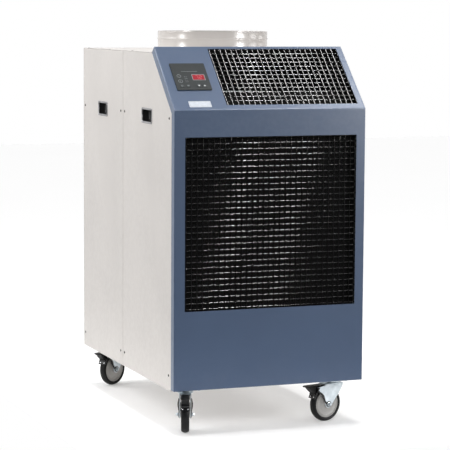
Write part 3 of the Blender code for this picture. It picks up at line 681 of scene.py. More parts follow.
def top_panel():
    """A flat top with the collar's hole and a pressed pad behind it."""
    low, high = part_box("top_panel")
    collar_low, collar_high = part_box("duct_collar")
    centre = (collar_low + collar_high) / 2
    flange = 0.024
    hole_r = (collar_high.x - collar_low.x) / 2 - flange
    bm = box_bm((low.x, low.y, low.z), (high.x, high.y, TOP_Z))
    panel = piece_from("top_sheet", bm, "cabinet_paint", "cabinet", ["top_panel"])
    cutter = bmesh.new()
    add_plug(cutter, hole_r, 0.02, 96, at(0.0, centre.y, TOP_Z))
    apply_all(panel, [cut(panel, cutter, "collar_cut")])
    soft_edges(panel, 0.0006)
    bm = bmesh.new()
    pad = (-0.300, 0.300), (0.300, 0.505)
    base = add_loop(bm, rounded_outline(*pad, 0.012), TOP_Z - 0.0004)
    top = add_loop(bm, rounded_outline(*grown(*pad, -0.0015), 0.011), high.z)
    bm.faces.new(top)
    bm.faces.new(list(reversed(base)))
    bridge(bm, base, top)
    piece_from("top_pressed_pad", bm, "cabinet_paint", "cabinet")


def rear_panel():
    """A flat sheet with the intake's opening and the cord gland's hole."""
    low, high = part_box("rear_panel")
    panel = piece_from("rear_sheet", box_bm(low, high), "cabinet_paint", "cabinet", ["rear_panel"])
    gland_low, gland_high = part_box("cord_gland")
    middle = (gland_low + gland_high) / 2
    hole = bmesh.new()
    add_plug(hole, 0.0135, 0.02, 32, at(middle.x, REAR_Y, middle.z) @ turn(-90, "X"))
    face = at(0.0, REAR_Y, 0.0) @ UPRIGHT
    apply_all(panel, [cut_opening(panel, "rear_cut", REAR_OPENING, 0.004, 0.02, face),
                      cut(panel, hole, "gland_cut")])
    soft_edges(panel, 0.0006)


def duct_collar():
    """Spun collar: foot flange, wall, bead and rolled rim, riveted down."""
    low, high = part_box("duct_collar")
    centre = (low + high) / 2
    foot_r = (high.x - low.x) / 2
    radius = foot_r - 0.012
    tall = high.z - TOP_Z
    bead = 0.043
    wall = 0.0016
    swell = ((0.0050, 0.0), (0.0034, 0.0003), (0.0018, 0.0010), (0.0, 0.0013), (-0.0018, 0.0010),
             (-0.0034, 0.0003), (-0.0050, 0.0))
    rim = ((-wall, -0.0012), (-0.0014, -0.0003), (-0.0006, 0.0), (0.0001, -0.0004), (0.0004, -0.0014),
           (0.0002, -0.0026), (0.0, -0.0040))
    profile = [(radius + out, tall + up) for out, up in rim]
    profile += [(radius + out, bead + up) for up, out in swell]
    profile += [(radius, 0.0050), (radius + 0.0012, 0.0026), (radius + 0.0040, 0.0019),
                (foot_r - 0.0004, 0.0018), (foot_r, 0.0011), (foot_r, 0.0004),
                (radius - 0.0040, 0.0004), (radius - wall, 0.0030)]
    profile += [(radius - wall + out, bead + up) for up, out in reversed(swell)]
    bm = bmesh.new()
    add_turned(bm, profile, 160, at(0.0, centre.y, TOP_Z), closed=True)
    piece_from("collar_spinning", bm, "collar_paint", "cabinet", ["duct_collar"], 40.0)
    rivets, rivet_ring = 8, radius + 0.0075
    bm = bmesh.new()
    for index in range(rivets):
        angle = math.radians(22.5 + 45 * index)
        x, y = rivet_ring * math.cos(angle), rivet_ring * math.sin(angle)
        add_screw(bm, at(x, centre.y + y, TOP_Z + 0.0018), 0.0032, 0.0018)
    piece_from("collar_rivets", bm, "bright_steel", "cabinet")


# ---------------------------------------------------------------- grilles
def wire_grille(name, node, place, corners, columns, rows, radius=WIRE_R):
    """Welded wire mesh in local XY. Local Z points out of the cabinet, corners are the opening's.

    columns and rows are the first wire's place and the pitch. The upright wires lie in front of the
    level ones, and both run behind the opening's edge.
    """
    wide, high = (corners[1][i] - corners[0][i] for i in (0, 1))
    reach = RIM - 0.002
    depth = WIRE_BACK + 1.85 * radius        # a little less than a diameter, as if welded in
    sides = 16
    bm = bmesh.new()
    x, pitch = columns
    while x < wide + reach:
        low_end, high_end = ((x, y, -WIRE_BACK) for y in (-reach, high + reach))
        add_rod(bm, place @ Vector(low_end), place @ Vector(high_end), radius, sides)
        x += pitch
    y, pitch = rows
    while y < high + reach:
        left_end, right_end = ((x, y, -depth) for x in (-reach, wide + reach))
        add_rod(bm, place @ Vector(left_end), place @ Vector(right_end), radius, sides)
        y += pitch
    piece_from(name, bm, "black_wire", "cabinet", [node], 60.0)


def grilles():
    """The upright intake, the slanted outlet and the rear intake."""
    left, low = RETURN_OPENING[0]
    wire_grille("return_wire_mesh", "return_grille", at(left, FACE_Y, low) @ UPRIGHT, RETURN_OPENING,
                (0.0054, WIRE_PITCH), (RETURN_ROW, WIRE_PITCH))
    left, low = SUPPLY_OPENING[0]
    wire_grille("supply_wire_mesh", "supply_grille", SLOPE @ at(left, low, 0.0), SUPPLY_OPENING,
                (0.0060, 0.0203), (0.0051, 0.0206), WIRE_R + 0.0002)
    right, low = REAR_OPENING[1][0], REAR_OPENING[0][1]
    facing_back = at(right, REAR_Y, low) @ turn(180, "Z") @ UPRIGHT
    wire_grille("rear_wire_mesh", "rear_grille", facing_back, REAR_OPENING, (0.0060, WIRE_PITCH),
                (0.0090, WIRE_PITCH))


# ---------------------------------------------------------------- control panel
def slope_block(node, radius):
    """A node's box on the slope as a round-cornered block, less the layer of ink on its face."""
    low, high = slope_box(node)
    bm = bmesh.new()
    add_prism(bm, rounded_outline(low, high, radius), low.z, high.z - INK, SLOPE)
    return bm


def print_shape(bm, outline, top):
    """One layer of ink on the slope, from an outline."""
    add_prism(bm, outline, top, top + INK, SLOPE)


def print_bar(bm, low, high, top):
    """A printed line with round ends."""
    print_shape(bm, rounded_outline(low, high, 0.0003, 2), top)


def control_plate():
    """The overlay plate with its windows, and what is printed on it."""
    low, high = slope_box("control_plate")
    plate = piece_from("control_overlay", slope_block("control_plate", 0.0030), "overlay", "cabinet",
                       ["control_plate"])
    slack = 0.0003
    windows = [(node, grown(*slope_box(node), slack)) for node in ("display_lens", *KEYS)]
    apply_all(plate, [cut_opening(plate, node + "_cut", corners, 0.0014, 0.02, SLOPE)
                      for node, corners in windows])
    soft_edges(plate, 0.0005)

    top = high.z - INK
    line = 0.0004
    wide, tall = high.x - low.x, high.y - low.y

    def spot(across, up):
        return low.x + across * wide, low.y + up * tall

    bm = bmesh.new()
    lens = slope_box("display_lens")
    outer = rounded_outline(*grown(*lens, 0.0022), 0.0020)
    inner = rounded_outline(*grown(*lens, 0.0004), 0.0014)
    add_ring_plate(bm, outer, inner, top, top + INK, SLOPE)
    piece_from("display_border", bm, "grey_ink", "cabinet")

    bm = bmesh.new()
    for up in (0.520, 0.325):
        centre = spot(0.165, up)
        outer, inner = (arc(centre, radius, 0, 345, 23) for radius in (0.0076, 0.0066))
        add_ring_plate(bm, outer, inner, top, top + INK, SLOPE)
        print_shape(bm, arc(centre, 0.0013, 0, 315, 7), top)
    for row in range(4):
        x, y = spot(0.345, 0.300 + 0.062 * row)
        print_shape(bm, arc((x - 0.0030, y), 0.0011, 0, 315, 7), top)
        print_bar(bm, (x, y - line), (x + 0.0058, y + line), top)
    x, y = spot(0.50, 0.690)
    print_bar(bm, (x - 0.030, y - line), (x + 0.030, y + line), top)
    piece_from("panel_print", bm, "grey_ink", "cabinet")


def display():
    """The red window with a two-digit reading behind its face."""
    low, high = slope_box("display_lens")
    lens = piece_from("display_window", slope_block("display_lens", 0.0012), "display_window", "cabinet",
                      ["display_lens"])
    soft_edges(lens, 0.0003)
    # seven-segment bars by letter, from start to end in parts of the digit's width and height
    bars = {"a": (0, 1, 1, 1), "b": (1, 0.5, 1, 1), "c": (1, 0, 1, 0.5),
            "d": (0, 0, 1, 0), "e": (0, 0, 0, 0.5), "g": (0, 0.5, 1, 0.5)}
    digits = ("abc", "abged")
    tall = (high.y - low.y) * 0.62
    wide = tall * 0.56
    apart = wide + 0.0050
    stroke, point = 0.0016, 0.0006
    middle = (low + high) / 2
    bm = bmesh.new()
    for lit, offset in zip(digits, (-0.5, 0.5)):
        left = middle.x + offset * apart - wide / 2
        bottom = middle.y - tall / 2
        for bar in lit:
            x0, y0, x1, y1 = bars[bar]
            start = Vector((left + x0 * wide, bottom + y0 * tall))
            end = Vector((left + x1 * wide, bottom + y1 * tall))
            run = (end - start).normalized()
            tip, side = run * point, run.orthogonal() * stroke / 2
            start, end = start + tip, end - tip
            outline = [start - side * 0.2, start + tip - side, end - tip - side, end - side * 0.2,
                       end + side * 0.2, end - tip + side, start + tip + side, start + side * 0.2]
            add_prism(bm, outline, high.z - INK, high.z, SLOPE)
    piece_from("display_digits", bm, "lit_segments", "cabinet")


def key_symbol(bm, node, centre, top):
    """A broken ring with a bar, three lines, or an arrow head up or down."""
    x, y = centre
    line = 0.0004
    if node == "key_power":
        ring, inner = (arc(centre, radius, 120, 420, 20) for radius in (0.0036, 0.0028))
        print_shape(bm, ring + list(reversed(inner)), top)
        print_bar(bm, (x - line, y + line), (x + line, y + 0.0042), top)
    elif node == "key_mode":
        for shift in (-0.0022, 0.0, 0.0022):
            print_bar(bm, (x - 0.0040, y + shift - line), (x + 0.0040, y + shift + line), top)
    else:
        sign = 1 if node == "key_up" else -1
        outline = [(x - 0.0044, y - sign * 0.0030), (x + 0.0044, y - sign * 0.0030), (x, y + sign * 0.0036)]
        print_shape(bm, outline[::sign], top)


def keys():
    """Four caps that travel with their keys, each with a plain symbol."""
    for node, body in KEYS.items():
        cap = piece_from(node + "_cap", slope_block(node, 0.0012), "key_cap", body, [node])
        soft_edges(cap, 0.0006, 3)
        low, high = slope_box(node)
        bm = bmesh.new()
        key_symbol(bm, node, ((low.x + high.x) / 2, (low.y + high.y) / 2), high.z - INK)
        ink = "pale_ink" if node in ("key_up", "key_down") else "grey_ink"
        piece_from(node + "_symbol", bm, ink, body)


def label():
    """A blank foil label with a thin border, low on the slope."""
    corners = (-0.2965, 0.0135), (-0.2165, 0.0415)
    thick = INK * 2
    inset, line = 0.0028, 0.0005
    bm = bmesh.new()
    add_prism(bm, rounded_outline(*corners, 0.0025), 0.0, thick, SLOPE)
    piece_from("blank_label", bm, "foil_label", "cabinet")
    bm = bmesh.new()
    outer = rounded_outline(*grown(*corners, -inset), 0.0015)
    inner = rounded_outline(*grown(*corners, -inset - line), 0.0012)
    add_ring_plate(bm, outer, inner, thick, thick + INK, SLOPE)
    piece_from("label_border", bm, "grey_ink", "cabinet")


# ---------------------------------------------------------------- fasteners
def screw_set(name, places, radius, high):
    """One piece that holds a whole row of screws."""
    bm = bmesh.new()
    for place in places:
        add_screw(bm, place, radius, high)
    piece_from(name, bm, "screw_black", "cabinet")


def screws():
    """Panel screws along the side, rear and top edges."""
    edge, lap, corner = 0.020, 0.004, 0.014
    side_head, head, head_high, flat_high = 0.0046, 0.0044, 0.0018, 0.0008
    for side, word in SIDES:
        columns = []
        for node in (word + "_front_panel", word + "_rear_panel"):
            low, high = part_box(node)
            columns += [low.y + edge + lap, high.y - edge]
        places = [at(side * HALF, y, z) @ turn(90 * side, "Y") for y in columns for z in (0.206, 1.095)]
        screw_set(word + "_panel_screws", places, side_head, head_high)
    columns = (-HALF + corner, HALF - corner)
    spots = [(x, z) for x in columns for z in (0.20, 0.50, 0.80, 1.10, 1.28)]
    spots += [(x, z) for x in (-0.18, 0.0, 0.18) for z in (0.185, 1.29)]
    places = [at(x, REAR_Y, z) @ turn(-90, "X") for x, z in spots]
    screw_set("rear_panel_screws", places, head, head_high)
    places = [at(x, y, TOP_Z) for x in columns for y in (-0.255, -0.03, 0.24, 0.505)]
    screw_set("top_panel_screws", places, head, flat_high)


def cord_gland():
    """Nylon gland: locknut against the sheet, ribbed dome nut and the seal's lip."""
    low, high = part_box("cord_gland")
    middle = (low + high) / 2
    place = at(middle.x, REAR_Y, middle.z) @ turn(-90, "X")
    reach = high.y - REAR_Y
    foot = 0.0062
    bm = bmesh.new()
    add_turned(bm, [(0.0070, -0.011), (0.0070, foot), (0.0166, foot), (0.0174, 0.0052), (0.0174, 0.0012),
                    (0.0172, 0.0004), (0.0130, 0.0004), (0.0130, -0.011)], 6, place, closed=True)
    steps = 12 * 4
    ribbed = [0.0146 if index % 4 in (1, 2) else 0.0136 for index in range(steps)]
    levels = [(height, [radius * share for radius in ribbed])
              for height, share in ((foot, 1.0), (0.0160, 1.0), (0.0185, 0.94), (0.0205, 0.84))]
    levels += [(height, [radius] * steps)
               for height, radius in ((0.0225, 0.0104), (reach - 0.0002, 0.0090), (reach, 0.0082),
                                      (reach - 0.0006, 0.0071), (foot, 0.0071))]
    angles = [2 * math.pi * index / steps for index in range(steps)]
    rings = [add_loop(bm, [(r * math.cos(a), r * math.sin(a)) for r, a in zip(radii, angles)], height, place)
             for height, radii in levels]
    bridge_round(bm, rings)
    piece_from("gland_nuts", bm, "black_plastic", "cabinet", ["cord_gland"])


# ---------------------------------------------------------------- inside
def finned_coil(node, name, pitch):
    """A coil core: thin fins, level copper runs and an end plate at each side."""
    low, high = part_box(node)
    half_fin, end_plate = 0.0002, 0.0015
    tube_r, tube_pitch, tube_inset = 0.0048, 0.0254, 0.016
    bm = bmesh.new()

    def upright(left, right):
        add_prism(bm, [(left, low.y), (right, low.y), (right, high.y), (left, high.y)], low.z, high.z)

    fins = int((high.x - low.x - 0.012) / pitch)
    for index in range(fins + 1):
        x = low.x + 0.006 + pitch * index
        upright(x - half_fin, x + half_fin)
    for x in (low.x, high.x - end_plate):
        upright(x, x + end_plate)
    start = len(bm.faces)
    z = low.z + 0.020
    while z < high.z - 0.010:
        for y in (low.y + tube_inset, high.y - tube_inset):
            add_rod(bm, (low.x - 0.002, y, z), (high.x + 0.002, y, z), tube_r, 10)
        z += tube_pitch
    bm.faces.ensure_lookup_table()
    for face in bm.faces[start:]:
        face.material_index = 1
    piece_from(name, bm, ("fin_stock", "copper_tube"), "cabinet", [node])


def filter_medium():
    """A flat foam medium behind the retaining wires."""
    low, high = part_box("return_filter")
    front = high.y - 0.026
    bm = box_bm((low.x, front, low.z), (high.x, front + 0.010, high.z))
    piece_from("filter_medium", bm, "filter_foam", "cabinet", ["return_filter"])


def filter_retainer():
    """Thin level wires in front of the medium, near the middle between the grille's rows."""
    low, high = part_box("return_filter")
    level_r, level_y, upright_r, upright_y = 0.0009, low.y - 0.0012, 0.0012, low.y - 0.0002
    end_gap, margin, sides = 0.006, 0.010, 8
    bm = bmesh.new()
    z = RETURN_OPENING[0][1] + RETURN_ROW + WIRE_PITCH / 2 - 0.0022
    while z < RETURN_OPENING[1][1]:
        add_rod(bm, (low.x + end_gap, level_y, z), (high.x - end_gap, level_y, z), level_r, sides)
        z += WIRE_PITCH
    for x in (low.x + margin, 0.0, high.x - margin):
        add_rod(bm, (x, upright_y, low.z + margin), (x, upright_y, high.z - margin), upright_r, sides)
    piece_from("filter_retainer", bm, "black_wire", "cabinet")


def painted_shade_liner():
    """A black sheet of painted shade on the walls around the supply grille's outlet, open at the blower's
    neck.
    """
    points = node_points("evaporator_blower_housing")
    neck_z = max(p.z for p in points)
    neck = [p for p in points if p.z > neck_z - 0.001]
    neck_x = min(p.x for p in neck), max(p.x for p in neck)
    neck_y = min(p.y for p in neck), max(p.y for p in neck)
    margin = 0.0012
    (left, below), (right, above) = grown(*SUPPLY_OPENING, margin)
    back_y = -0.090
    along = Vector((math.sin(LEAN), math.cos(LEAN)))
    inward = Vector((math.cos(LEAN), -math.sin(LEAN)))
    mouth = Vector((FACE_Y, BEND_OUT_Z)) + inward * 0.0030
    lower, upper = mouth + along * below, mouth + along * above
    roof = upper + inward * 0.032 - along * 0.002
    floor_z = neck_z + 0.003
    outline = [(lower.x, lower.y), (lower.x + 0.012, lower.y - 0.012), (neck_y[0], floor_z),
               (neck_y[1], floor_z), (back_y, floor_z), (back_y, roof.y), (roof.x, roof.y),
               (upper.x, upper.y)]
    neck_column, neck_row = 1, 2
    bm = bmesh.new()
    rows = [[bm.verts.new((x, y, z)) for y, z in outline] for x in (left, *neck_x, right)]
    bm.faces.new(rows[0])
    bm.faces.new(list(reversed(rows[-1])))
    for column, (near, far) in enumerate(zip(rows, rows[1:])):
        for index in range(len(outline) - 1):
            if (column, index) != (neck_column, neck_row):
                bm.faces.new((near[index], far[index], far[index + 1], near[index + 1]))
    # This sheet is painted shade: black lining where the outlet's inside lies in shadow.
    liner = piece_from("outlet_painted_shade", bm, "filter_foam", "cabinet")
    solidify(liner, 0.0012, 0.0, even=False)


# ---------------------------------------------------------------- casters
class CasterShapes:
    """Meshes that the four casters share, each in the caster's own frame.

    Local X runs along the trail, local Y along the axle, Z up, with the swivel axis at x = 0 and the
    floor at z = 0. The wheel's meshes turn about local Z instead.
    """

    def __init__(self, name):
        swivel, axle = (Vector(JOINTS[name + end]["pos_m"]) for end in ("_swivel_turn", "_wheel_spin"))
        self.trail = (axle - swivel).to_2d().length
        self.wheel_r = axle.z
        self.axle_at = at(self.trail, 0.0, self.wheel_r)
        self.crown_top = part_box(name + "_caster_fork")[1].z
        self.plate_low, self.plate_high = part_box(name + "_caster_plate")
        self.fork_in, self.fork_out = 0.0175, 0.0208
        self.meshes = {}
        for build in (self.tyre, self.hub, self.fork, self.race, self.axle, self.plate, self.pedal,
                      self.bracket):
            build()

    def make(self, key, bm, look, angle=35.0):
        self.meshes[key] = new_mesh("caster_" + key, bm, look, angle)

    def make_rounded(self, key, bm, look, edge, hollows=()):
        """Like make, with boxes cut out and the edges rounded."""
        shape = add_object("caster_shape", new_mesh("caster_raw", bm, look))
        cutters = [cut(shape, box_bm(*corners), "hollow_" + str(index))
                   for index, corners in enumerate(hollows)]
        bevel(shape, edge, 2, 40)
        apply_all(shape, cutters)
        self.meshes[key] = shape.data
        shape.data.name = "caster_" + key
        bpy.data.objects.remove(shape, do_unlink=True)

    def tyre(self):
        """A rounded tread over the core's rim."""
        outer = [(0.0500, 0.0112), (0.0512, 0.0126), (0.0530, 0.0138), (0.0552, 0.0143), (0.0574, 0.0138),
                 (0.0594, 0.0124), (0.0611, 0.0102), (0.0624, 0.0072), (self.wheel_r - 0.0003, 0.0040)]
        bm = bmesh.new()
        profile = mirrored(outer)
        profile.insert(len(outer), (self.wheel_r, 0.0))
        add_turned(bm, profile, 72, closed=True)
        self.make("tyre", bm, "tyre_rubber", 50)

    def hub(self):
        """A moulded core: bearing boss, dished disc, groove and raised rim on each face."""
        face = [(0.0054, 0.0165), (0.0098, 0.0165), (0.0108, 0.0158), (0.0120, 0.0152), (0.0128, 0.0120),
                (0.0150, 0.0094), (0.0180, 0.0086), (0.0285, 0.0086), (0.0291, 0.0080), (0.0309, 0.0080),
                (0.0315, 0.0088), (0.0392, 0.0090), (0.0406, 0.0098), (0.0428, 0.0098), (0.0434, 0.0084),
                (0.0449, 0.0082), (0.0455, 0.0102), (0.0464, 0.0112), (0.0486, 0.0113), (0.0495, 0.0106)]
        bm = bmesh.new()
        add_turned(bm, mirrored(face), 64, closed=True)
        self.make("hub", bm, "wheel_core", 30)

    def fork(self):
        """Pressed fork: two tapering legs under a flat crown, with room for the wheel and the pedal."""
        shoulder = self.crown_top - 0.0038
        boss = arc((self.trail, self.wheel_r), 0.0140, 215, 350, 10)
        leading = [(-0.0345, shoulder), (-0.0335, 0.1300), (-0.0300, 0.1208), (-0.0225, 0.1090),
                   (-0.0140, 0.0980), (0.0040, 0.0772)]
        trailing = [(0.0490, 0.0740), (0.0530, 0.0827), (0.0572, 0.0930), (0.0640, 0.1020), (0.0710, 0.1072),
                    (0.0780, 0.1108), (0.0815, 0.1140), (0.0830, 0.1185), (0.0825, 0.1285), (0.0660, 0.1308),
                    (0.0500, 0.1327), (0.0420, shoulder)]
        bm = bmesh.new()
        add_prism(bm, leading + boss + trailing, -self.fork_out, self.fork_out, UPRIGHT)
        bmesh.ops.recalc_face_normals(bm, faces=bm.faces)
        inner = self.fork_in
        wheel_room = (-0.10, -inner, 0.0), (0.10, inner, 0.1318)
        pedal_room = (0.043, -inner, 0.1), (0.10, inner, 0.2)
        self.make_rounded("fork", bm, "zinc", 0.0009, (wheel_room, pedal_room))

    def race(self):
        """The round crown with its lower ball race, over the fork."""
        drops = ((0.0, 0.0002), (0.0085, 0.0002), (0.0230, 0.0001), (0.0262, 0.0004), (0.0276, 0.0016),
                 (0.0281, 0.0034), (0.0276, 0.0050), (0.0260, 0.0060), (0.0, 0.0060))
        bm = bmesh.new()
        add_turned(bm, [(radius, self.crown_top - drop) for radius, drop in drops], 48)
        self.make("race", bm, "zinc", 40)

    def axle(self):
        """Axle bolt: a hexagon with a thread end and a washer on each side of the fork."""
        seat, reach = 0.0211, 0.0330
        low, high = seat + 0.0035, seat + 0.0100
        nut_r, thread_r = 0.0060, 0.0035
        washer = [(0.0046, seat + 0.0034), (0.0072, seat + 0.0034), (0.0080, seat + 0.0030),
                  (0.0083, seat + 0.0022), (0.0083, seat), (0.0046, seat)]
        nut = [(0.0036, high - 0.0002), (0.0048, high), (nut_r - 0.0004, high - 0.0010),
               (nut_r, high - 0.0022), (nut_r, low + 0.0006), (nut_r - 0.0006, low), (0.0036, low)]
        thread = [(0.0, reach), (0.0029, reach), (thread_r, reach - 0.0008), (thread_r, low), (0.0, low)]
        bm = bmesh.new()
        add_plug(bm, 0.0050, seat + 0.003, 24, self.axle_at @ turn(-90, "X"))
        for side in (1, -1):
            place = self.axle_at @ turn(-90 * side, "X")
            add_turned(bm, washer, 32, place, closed=True)
            add_turned(bm, nut, 6, place, closed=True)
            add_turned(bm, thread, 20, place)
        self.make("axle", bm, "zinc", 30)

    def plate(self):
        """Top plate with rounded corners, four bolt heads and the upper race cup."""
        low, high = self.plate_low, self.plate_high
        wide, deep = (high.x - low.x) / 2, (high.y - low.y) / 2
        bottom = high.z - 0.0040
        bm = bmesh.new()
        add_prism(bm, rounded_outline((-wide, -deep), (wide, deep), 0.010, 5), bottom, high.z)
        cup = [(0.0, bottom + 0.0002), (0.0300, bottom + 0.0002), (0.0312, bottom - 0.0010),
               (0.0300, bottom - 0.0026), (0.0284, bottom - 0.0040), (0.0272, low.z + 0.0006),
               (0.0255, low.z), (0.0, low.z)]
        add_turned(bm, cup, 48)
        head = [(0.0, 0.0003), (0.0086, 0.0003), (0.0086, -0.0006), (0.0065, -0.0006), (0.0062, -0.0044),
                (0.0050, -0.0052), (0.0, -0.0052)]
        for x in (-wide + 0.011, wide - 0.011):
            for y in (-deep + 0.010, deep - 0.010):
                add_turned(bm, [(radius, bottom + up) for radius, up in head], 6, at(x, y, 0.0))
        self.make("plate", bm, "zinc", 30)

    def pedal(self):
        """Brake pedal: a ribbed lip with a round end over a narrower wedge."""
        half_wide, half_wedge = 0.0160, 0.0138
        lip_low, lip_top = 0.1321, 0.1350
        heel, round_from, tip = 0.047, 0.112, 0.132
        bm = bmesh.new()
        plan = [(heel, -half_wide), (round_from, -half_wide)]
        plan += [(round_from + (tip - round_from) * math.cos(a), half_wide * math.sin(a))
                 for a in [math.radians(-72 + 144 * i / 10) for i in range(11)]]
        plan += [(round_from, half_wide), (heel, half_wide)]
        add_prism(bm, plan, lip_low, lip_top)
        wedge = [(0.0480, 0.1330), (0.0480, 0.1312), (0.0600, 0.1280), (0.0735, 0.1180), (0.0850, 0.1080),
                 (0.0905, 0.1072), (0.0950, 0.1085), (0.1060, 0.1190), (0.1160, 0.1300), (0.1180, 0.1330)]
        add_prism(bm, wedge, -half_wedge, half_wedge, UPRIGHT)
        bmesh.ops.recalc_face_normals(bm, faces=bm.faces)
        self.make_rounded("pedal", bm, "pedal_plastic", 0.0007)
        rib_r, rib_z = 0.0007, lip_top - 0.0007
        bm = bmesh.new()
        for x in (0.100, 0.106, 0.112, 0.118):
            add_rod(bm, (x, -0.0110, rib_z), (x, 0.0110, rib_z), rib_r, 10)
        self.make("pedal_ribs", bm, "pedal_plastic")

    def bracket(self):
        """Fixed brake bracket: a web round the tread, two straps and an arm outside each leg."""
        centre = (self.trail, self.wheel_r)
        inner_r, outer_r = self.wheel_r + 0.0016, self.wheel_r + 0.0038
        step = 0.0065
        web = arc(centre, outer_r, 21, 32, 6) + arc(centre, outer_r + step, 34, 45, 6)
        web += list(reversed(arc(centre, inner_r, 21, 30, 6) + arc(centre, inner_r + step, 33, 45, 6)))
        strap = [(0.0826, 0.1165), (0.0880, 0.1060), (0.0925, 0.0960), (0.0952, 0.0870), (0.0905, 0.0868),
                 (0.0850, 0.0985), (0.0770, 0.1085)]
        bm = bmesh.new()
        add_prism(bm, web, -0.0146, 0.0146, UPRIGHT)
        for side in (-1, 1):
            add_prism(bm, strap, *sorted((side * 0.0149, side * 0.0171)), UPRIGHT)
        bmesh.ops.recalc_face_normals(bm, faces=bm.faces)
        for side in (-1, 1):
            self.add_arm(bm, side)
        self.make_rounded("bracket", bm, "black_steel", 0.0005)

        rivet = [(0.0, 0.0017), (0.0014, 0.0016), (0.0026, 0.0011), (0.0032, 0.0), (0.0, 0.0)]
        rivet_angle = 27.0
        x, z = arc(centre, outer_r, rivet_angle, rivet_angle, 1)[0]
        bm = bmesh.new()
        for y in (-0.0095, 0.0095):
            add_turned(bm, rivet, 20, at(x, y, z) @ turn(90 - rivet_angle, "Y"))
        self.make("rivets", bm, "bright_steel", 50)

    def add_arm(self, bm, side):
        """A bowed strip down the trailing edge of a leg, ending in an eye round the axle."""
        marks = [(0.0770, 0.1272), (0.0822, 0.1215), (0.0818, 0.1150), (0.0752, 0.1090), (0.0665, 0.1035),
                 (0.0590, 0.0950), (0.0545, 0.0850), (0.0500, 0.0755), (0.0430, 0.0672)]
        line = smooth_line([Vector(mark) for mark in marks], 4)
        half_wide = 0.0030
        rings = []
        for index, point in enumerate(line):
            before, after = line[max(index - 1, 0)], line[min(index + 1, len(line) - 1)]
            run = (after - before).normalized()
            across = Vector((run.y, -run.x)) * half_wide
            bow = math.sin(math.pi * min(1.0, 1.2 * index / (len(line) - 1)))
            near = side * (self.fork_out + 0.0004 + 0.0006 * bow)
            far = side * (self.fork_out + 0.0026 + 0.0036 * bow)
            corners = ((point - across, near), (point + across, near), (point + across, far),
                       (point - across, far))
            rings.append([bm.verts.new((corner.x, y, corner.y)) for corner, y in corners])
        faces = [bm.faces.new(rings[0]), bm.faces.new(list(reversed(rings[-1])))]
        for first, second in zip(rings, rings[1:]):
            for index in range(4):
                after = (index + 1) % 4
                faces.append(bm.faces.new((first[index], second[index], second[after], first[after])))
        if side < 0:
            bmesh.ops.reverse_faces(bm, faces=faces)
        low, high = self.fork_out + 0.0003, self.fork_out + 0.0027
        eye = [(0.0055, high), (0.0108, high), (0.0108, low), (0.0055, low)]
        add_turned(bm, eye, 24, self.axle_at @ turn(-90 * side, "X"), closed=True)


def casters():
    """The shared shapes at each caster's place and heading, on the bodies that carry them."""
    shapes = CasterShapes(CASTERS[0])
    for name in CASTERS:
        swivel_at, axle_at = (Vector(JOINTS[name + end]["pos_m"]) for end in ("_swivel_turn", "_wheel_spin"))
        heading = (axle_at - swivel_at).to_2d()
        stand = at(swivel_at.x, swivel_at.y, 0.0)
        swivel = stand @ Matrix.Rotation(math.atan2(heading.y, heading.x), 4, "Z")
        wheel = swivel @ shapes.axle_at @ turn(-90, "X")
        carrier, roller, lever = name + "_swivel", name + "_wheel", name + "_brake"
        # piece, shape, place, body, CAD node, slot
        rows = (("top_plate", "plate", stand, "cabinet", "caster_plate", "zinc"),
                ("pressed_fork", "fork", swivel, carrier, "caster_fork", "zinc"),
                ("swivel_race", "race", swivel, carrier, None, "zinc"),
                ("axle_bolt", "axle", swivel, carrier, "caster_axle", "zinc"),
                ("brake_bracket", "bracket", swivel, carrier, None, "black_plastic"),
                ("bracket_rivets", "rivets", swivel, carrier, None, "zinc"),
                ("wheel_core", "hub", wheel, roller, "wheel_hub", "wheel_core"),
                ("moulded_tyre", "tyre", wheel, roller, "wheel_tyre", "tyre"),
                ("pedal_lever", "pedal", swivel, lever, "brake_pedal", "black_plastic"),
                ("pedal_ribs", "pedal_ribs", swivel, lever, None, "black_plastic"))
        for word, key, place, body, node, slot in rows:
            mesh = shapes.meshes[key].copy()
            mesh.transform(place)
            piece_with(name + "_" + word, mesh, body, [name + "_" + node] if node else ())


# ---------------------------------------------------------------- carried-over CAD nodes
def dress_cad_nodes():
    """Better materials on the CAD nodes that stay visible."""
    dress = {"cabinet_paint": ("base_pan",),
             "galvanised": ("center_bulkhead", "electrical_box", "evaporator_blower_housing",
                            "condenser_blower_housing"),
             "fin_stock": ("evaporator_blower_wheel", "condenser_blower_wheel"),
             "motor_enamel": ("evaporator_blower_motor", "condenser_blower_motor", "compressor"),
             "black_plastic": ("condensate_tank",)}
    for look, nodes in dress.items():
        for node in nodes:
            obj = frame["nodes"][node]
            if not obj.material_slots:
                obj.data.materials.append(LOOKS[look])
            for slot in obj.material_slots:
                slot.material = LOOKS[look]


# ---------------------------------------------------------------- studio
def rectangle_light(name, matrix, size, strength, kind):
    """strength is the radiance, whatever the size. A gleam lights gloss alone, a fill all but gloss."""
    data = bpy.data.lights.new(name, "AREA")
    data.shape = "RECTANGLE"
    data.size, data.size_y = size
    data.energy = strength * size[0] * size[1] * math.pi
    light = add_object(name, data)
    light.visible_diffuse = kind != "gleam"
    light.visible_glossy = kind != "fill"
    light.matrix_world = matrix


def area_light(name, place, look_at, size, strength, kind):
    """A rectangular softbox that faces a point."""
    direction = Vector(look_at) - Vector(place)
    turned = direction.to_track_quat("-Z", "Y").to_matrix().to_4x4()
    rectangle_light(name, at(*place) @ turned, size, strength, kind)


def tube_light(name, x, strength):
    """A long narrow lamp above and in front, all at one x, that draws a line of glints down the wires."""
    aim, distance, size = Vector((x, -0.53, 0.70)), 3.38, (0.06, 1.9)
    tilt = math.radians(25)
    away = Vector((0.0, -math.sin(tilt), math.cos(tilt)))
    along = Vector((0.0, -math.cos(tilt), -math.sin(tilt)))
    turned = Matrix((along.cross(away), along, away)).transposed().to_4x4()
    rectangle_light(name, at(*(aim + away * distance)) @ turned, size, strength, "gleam")


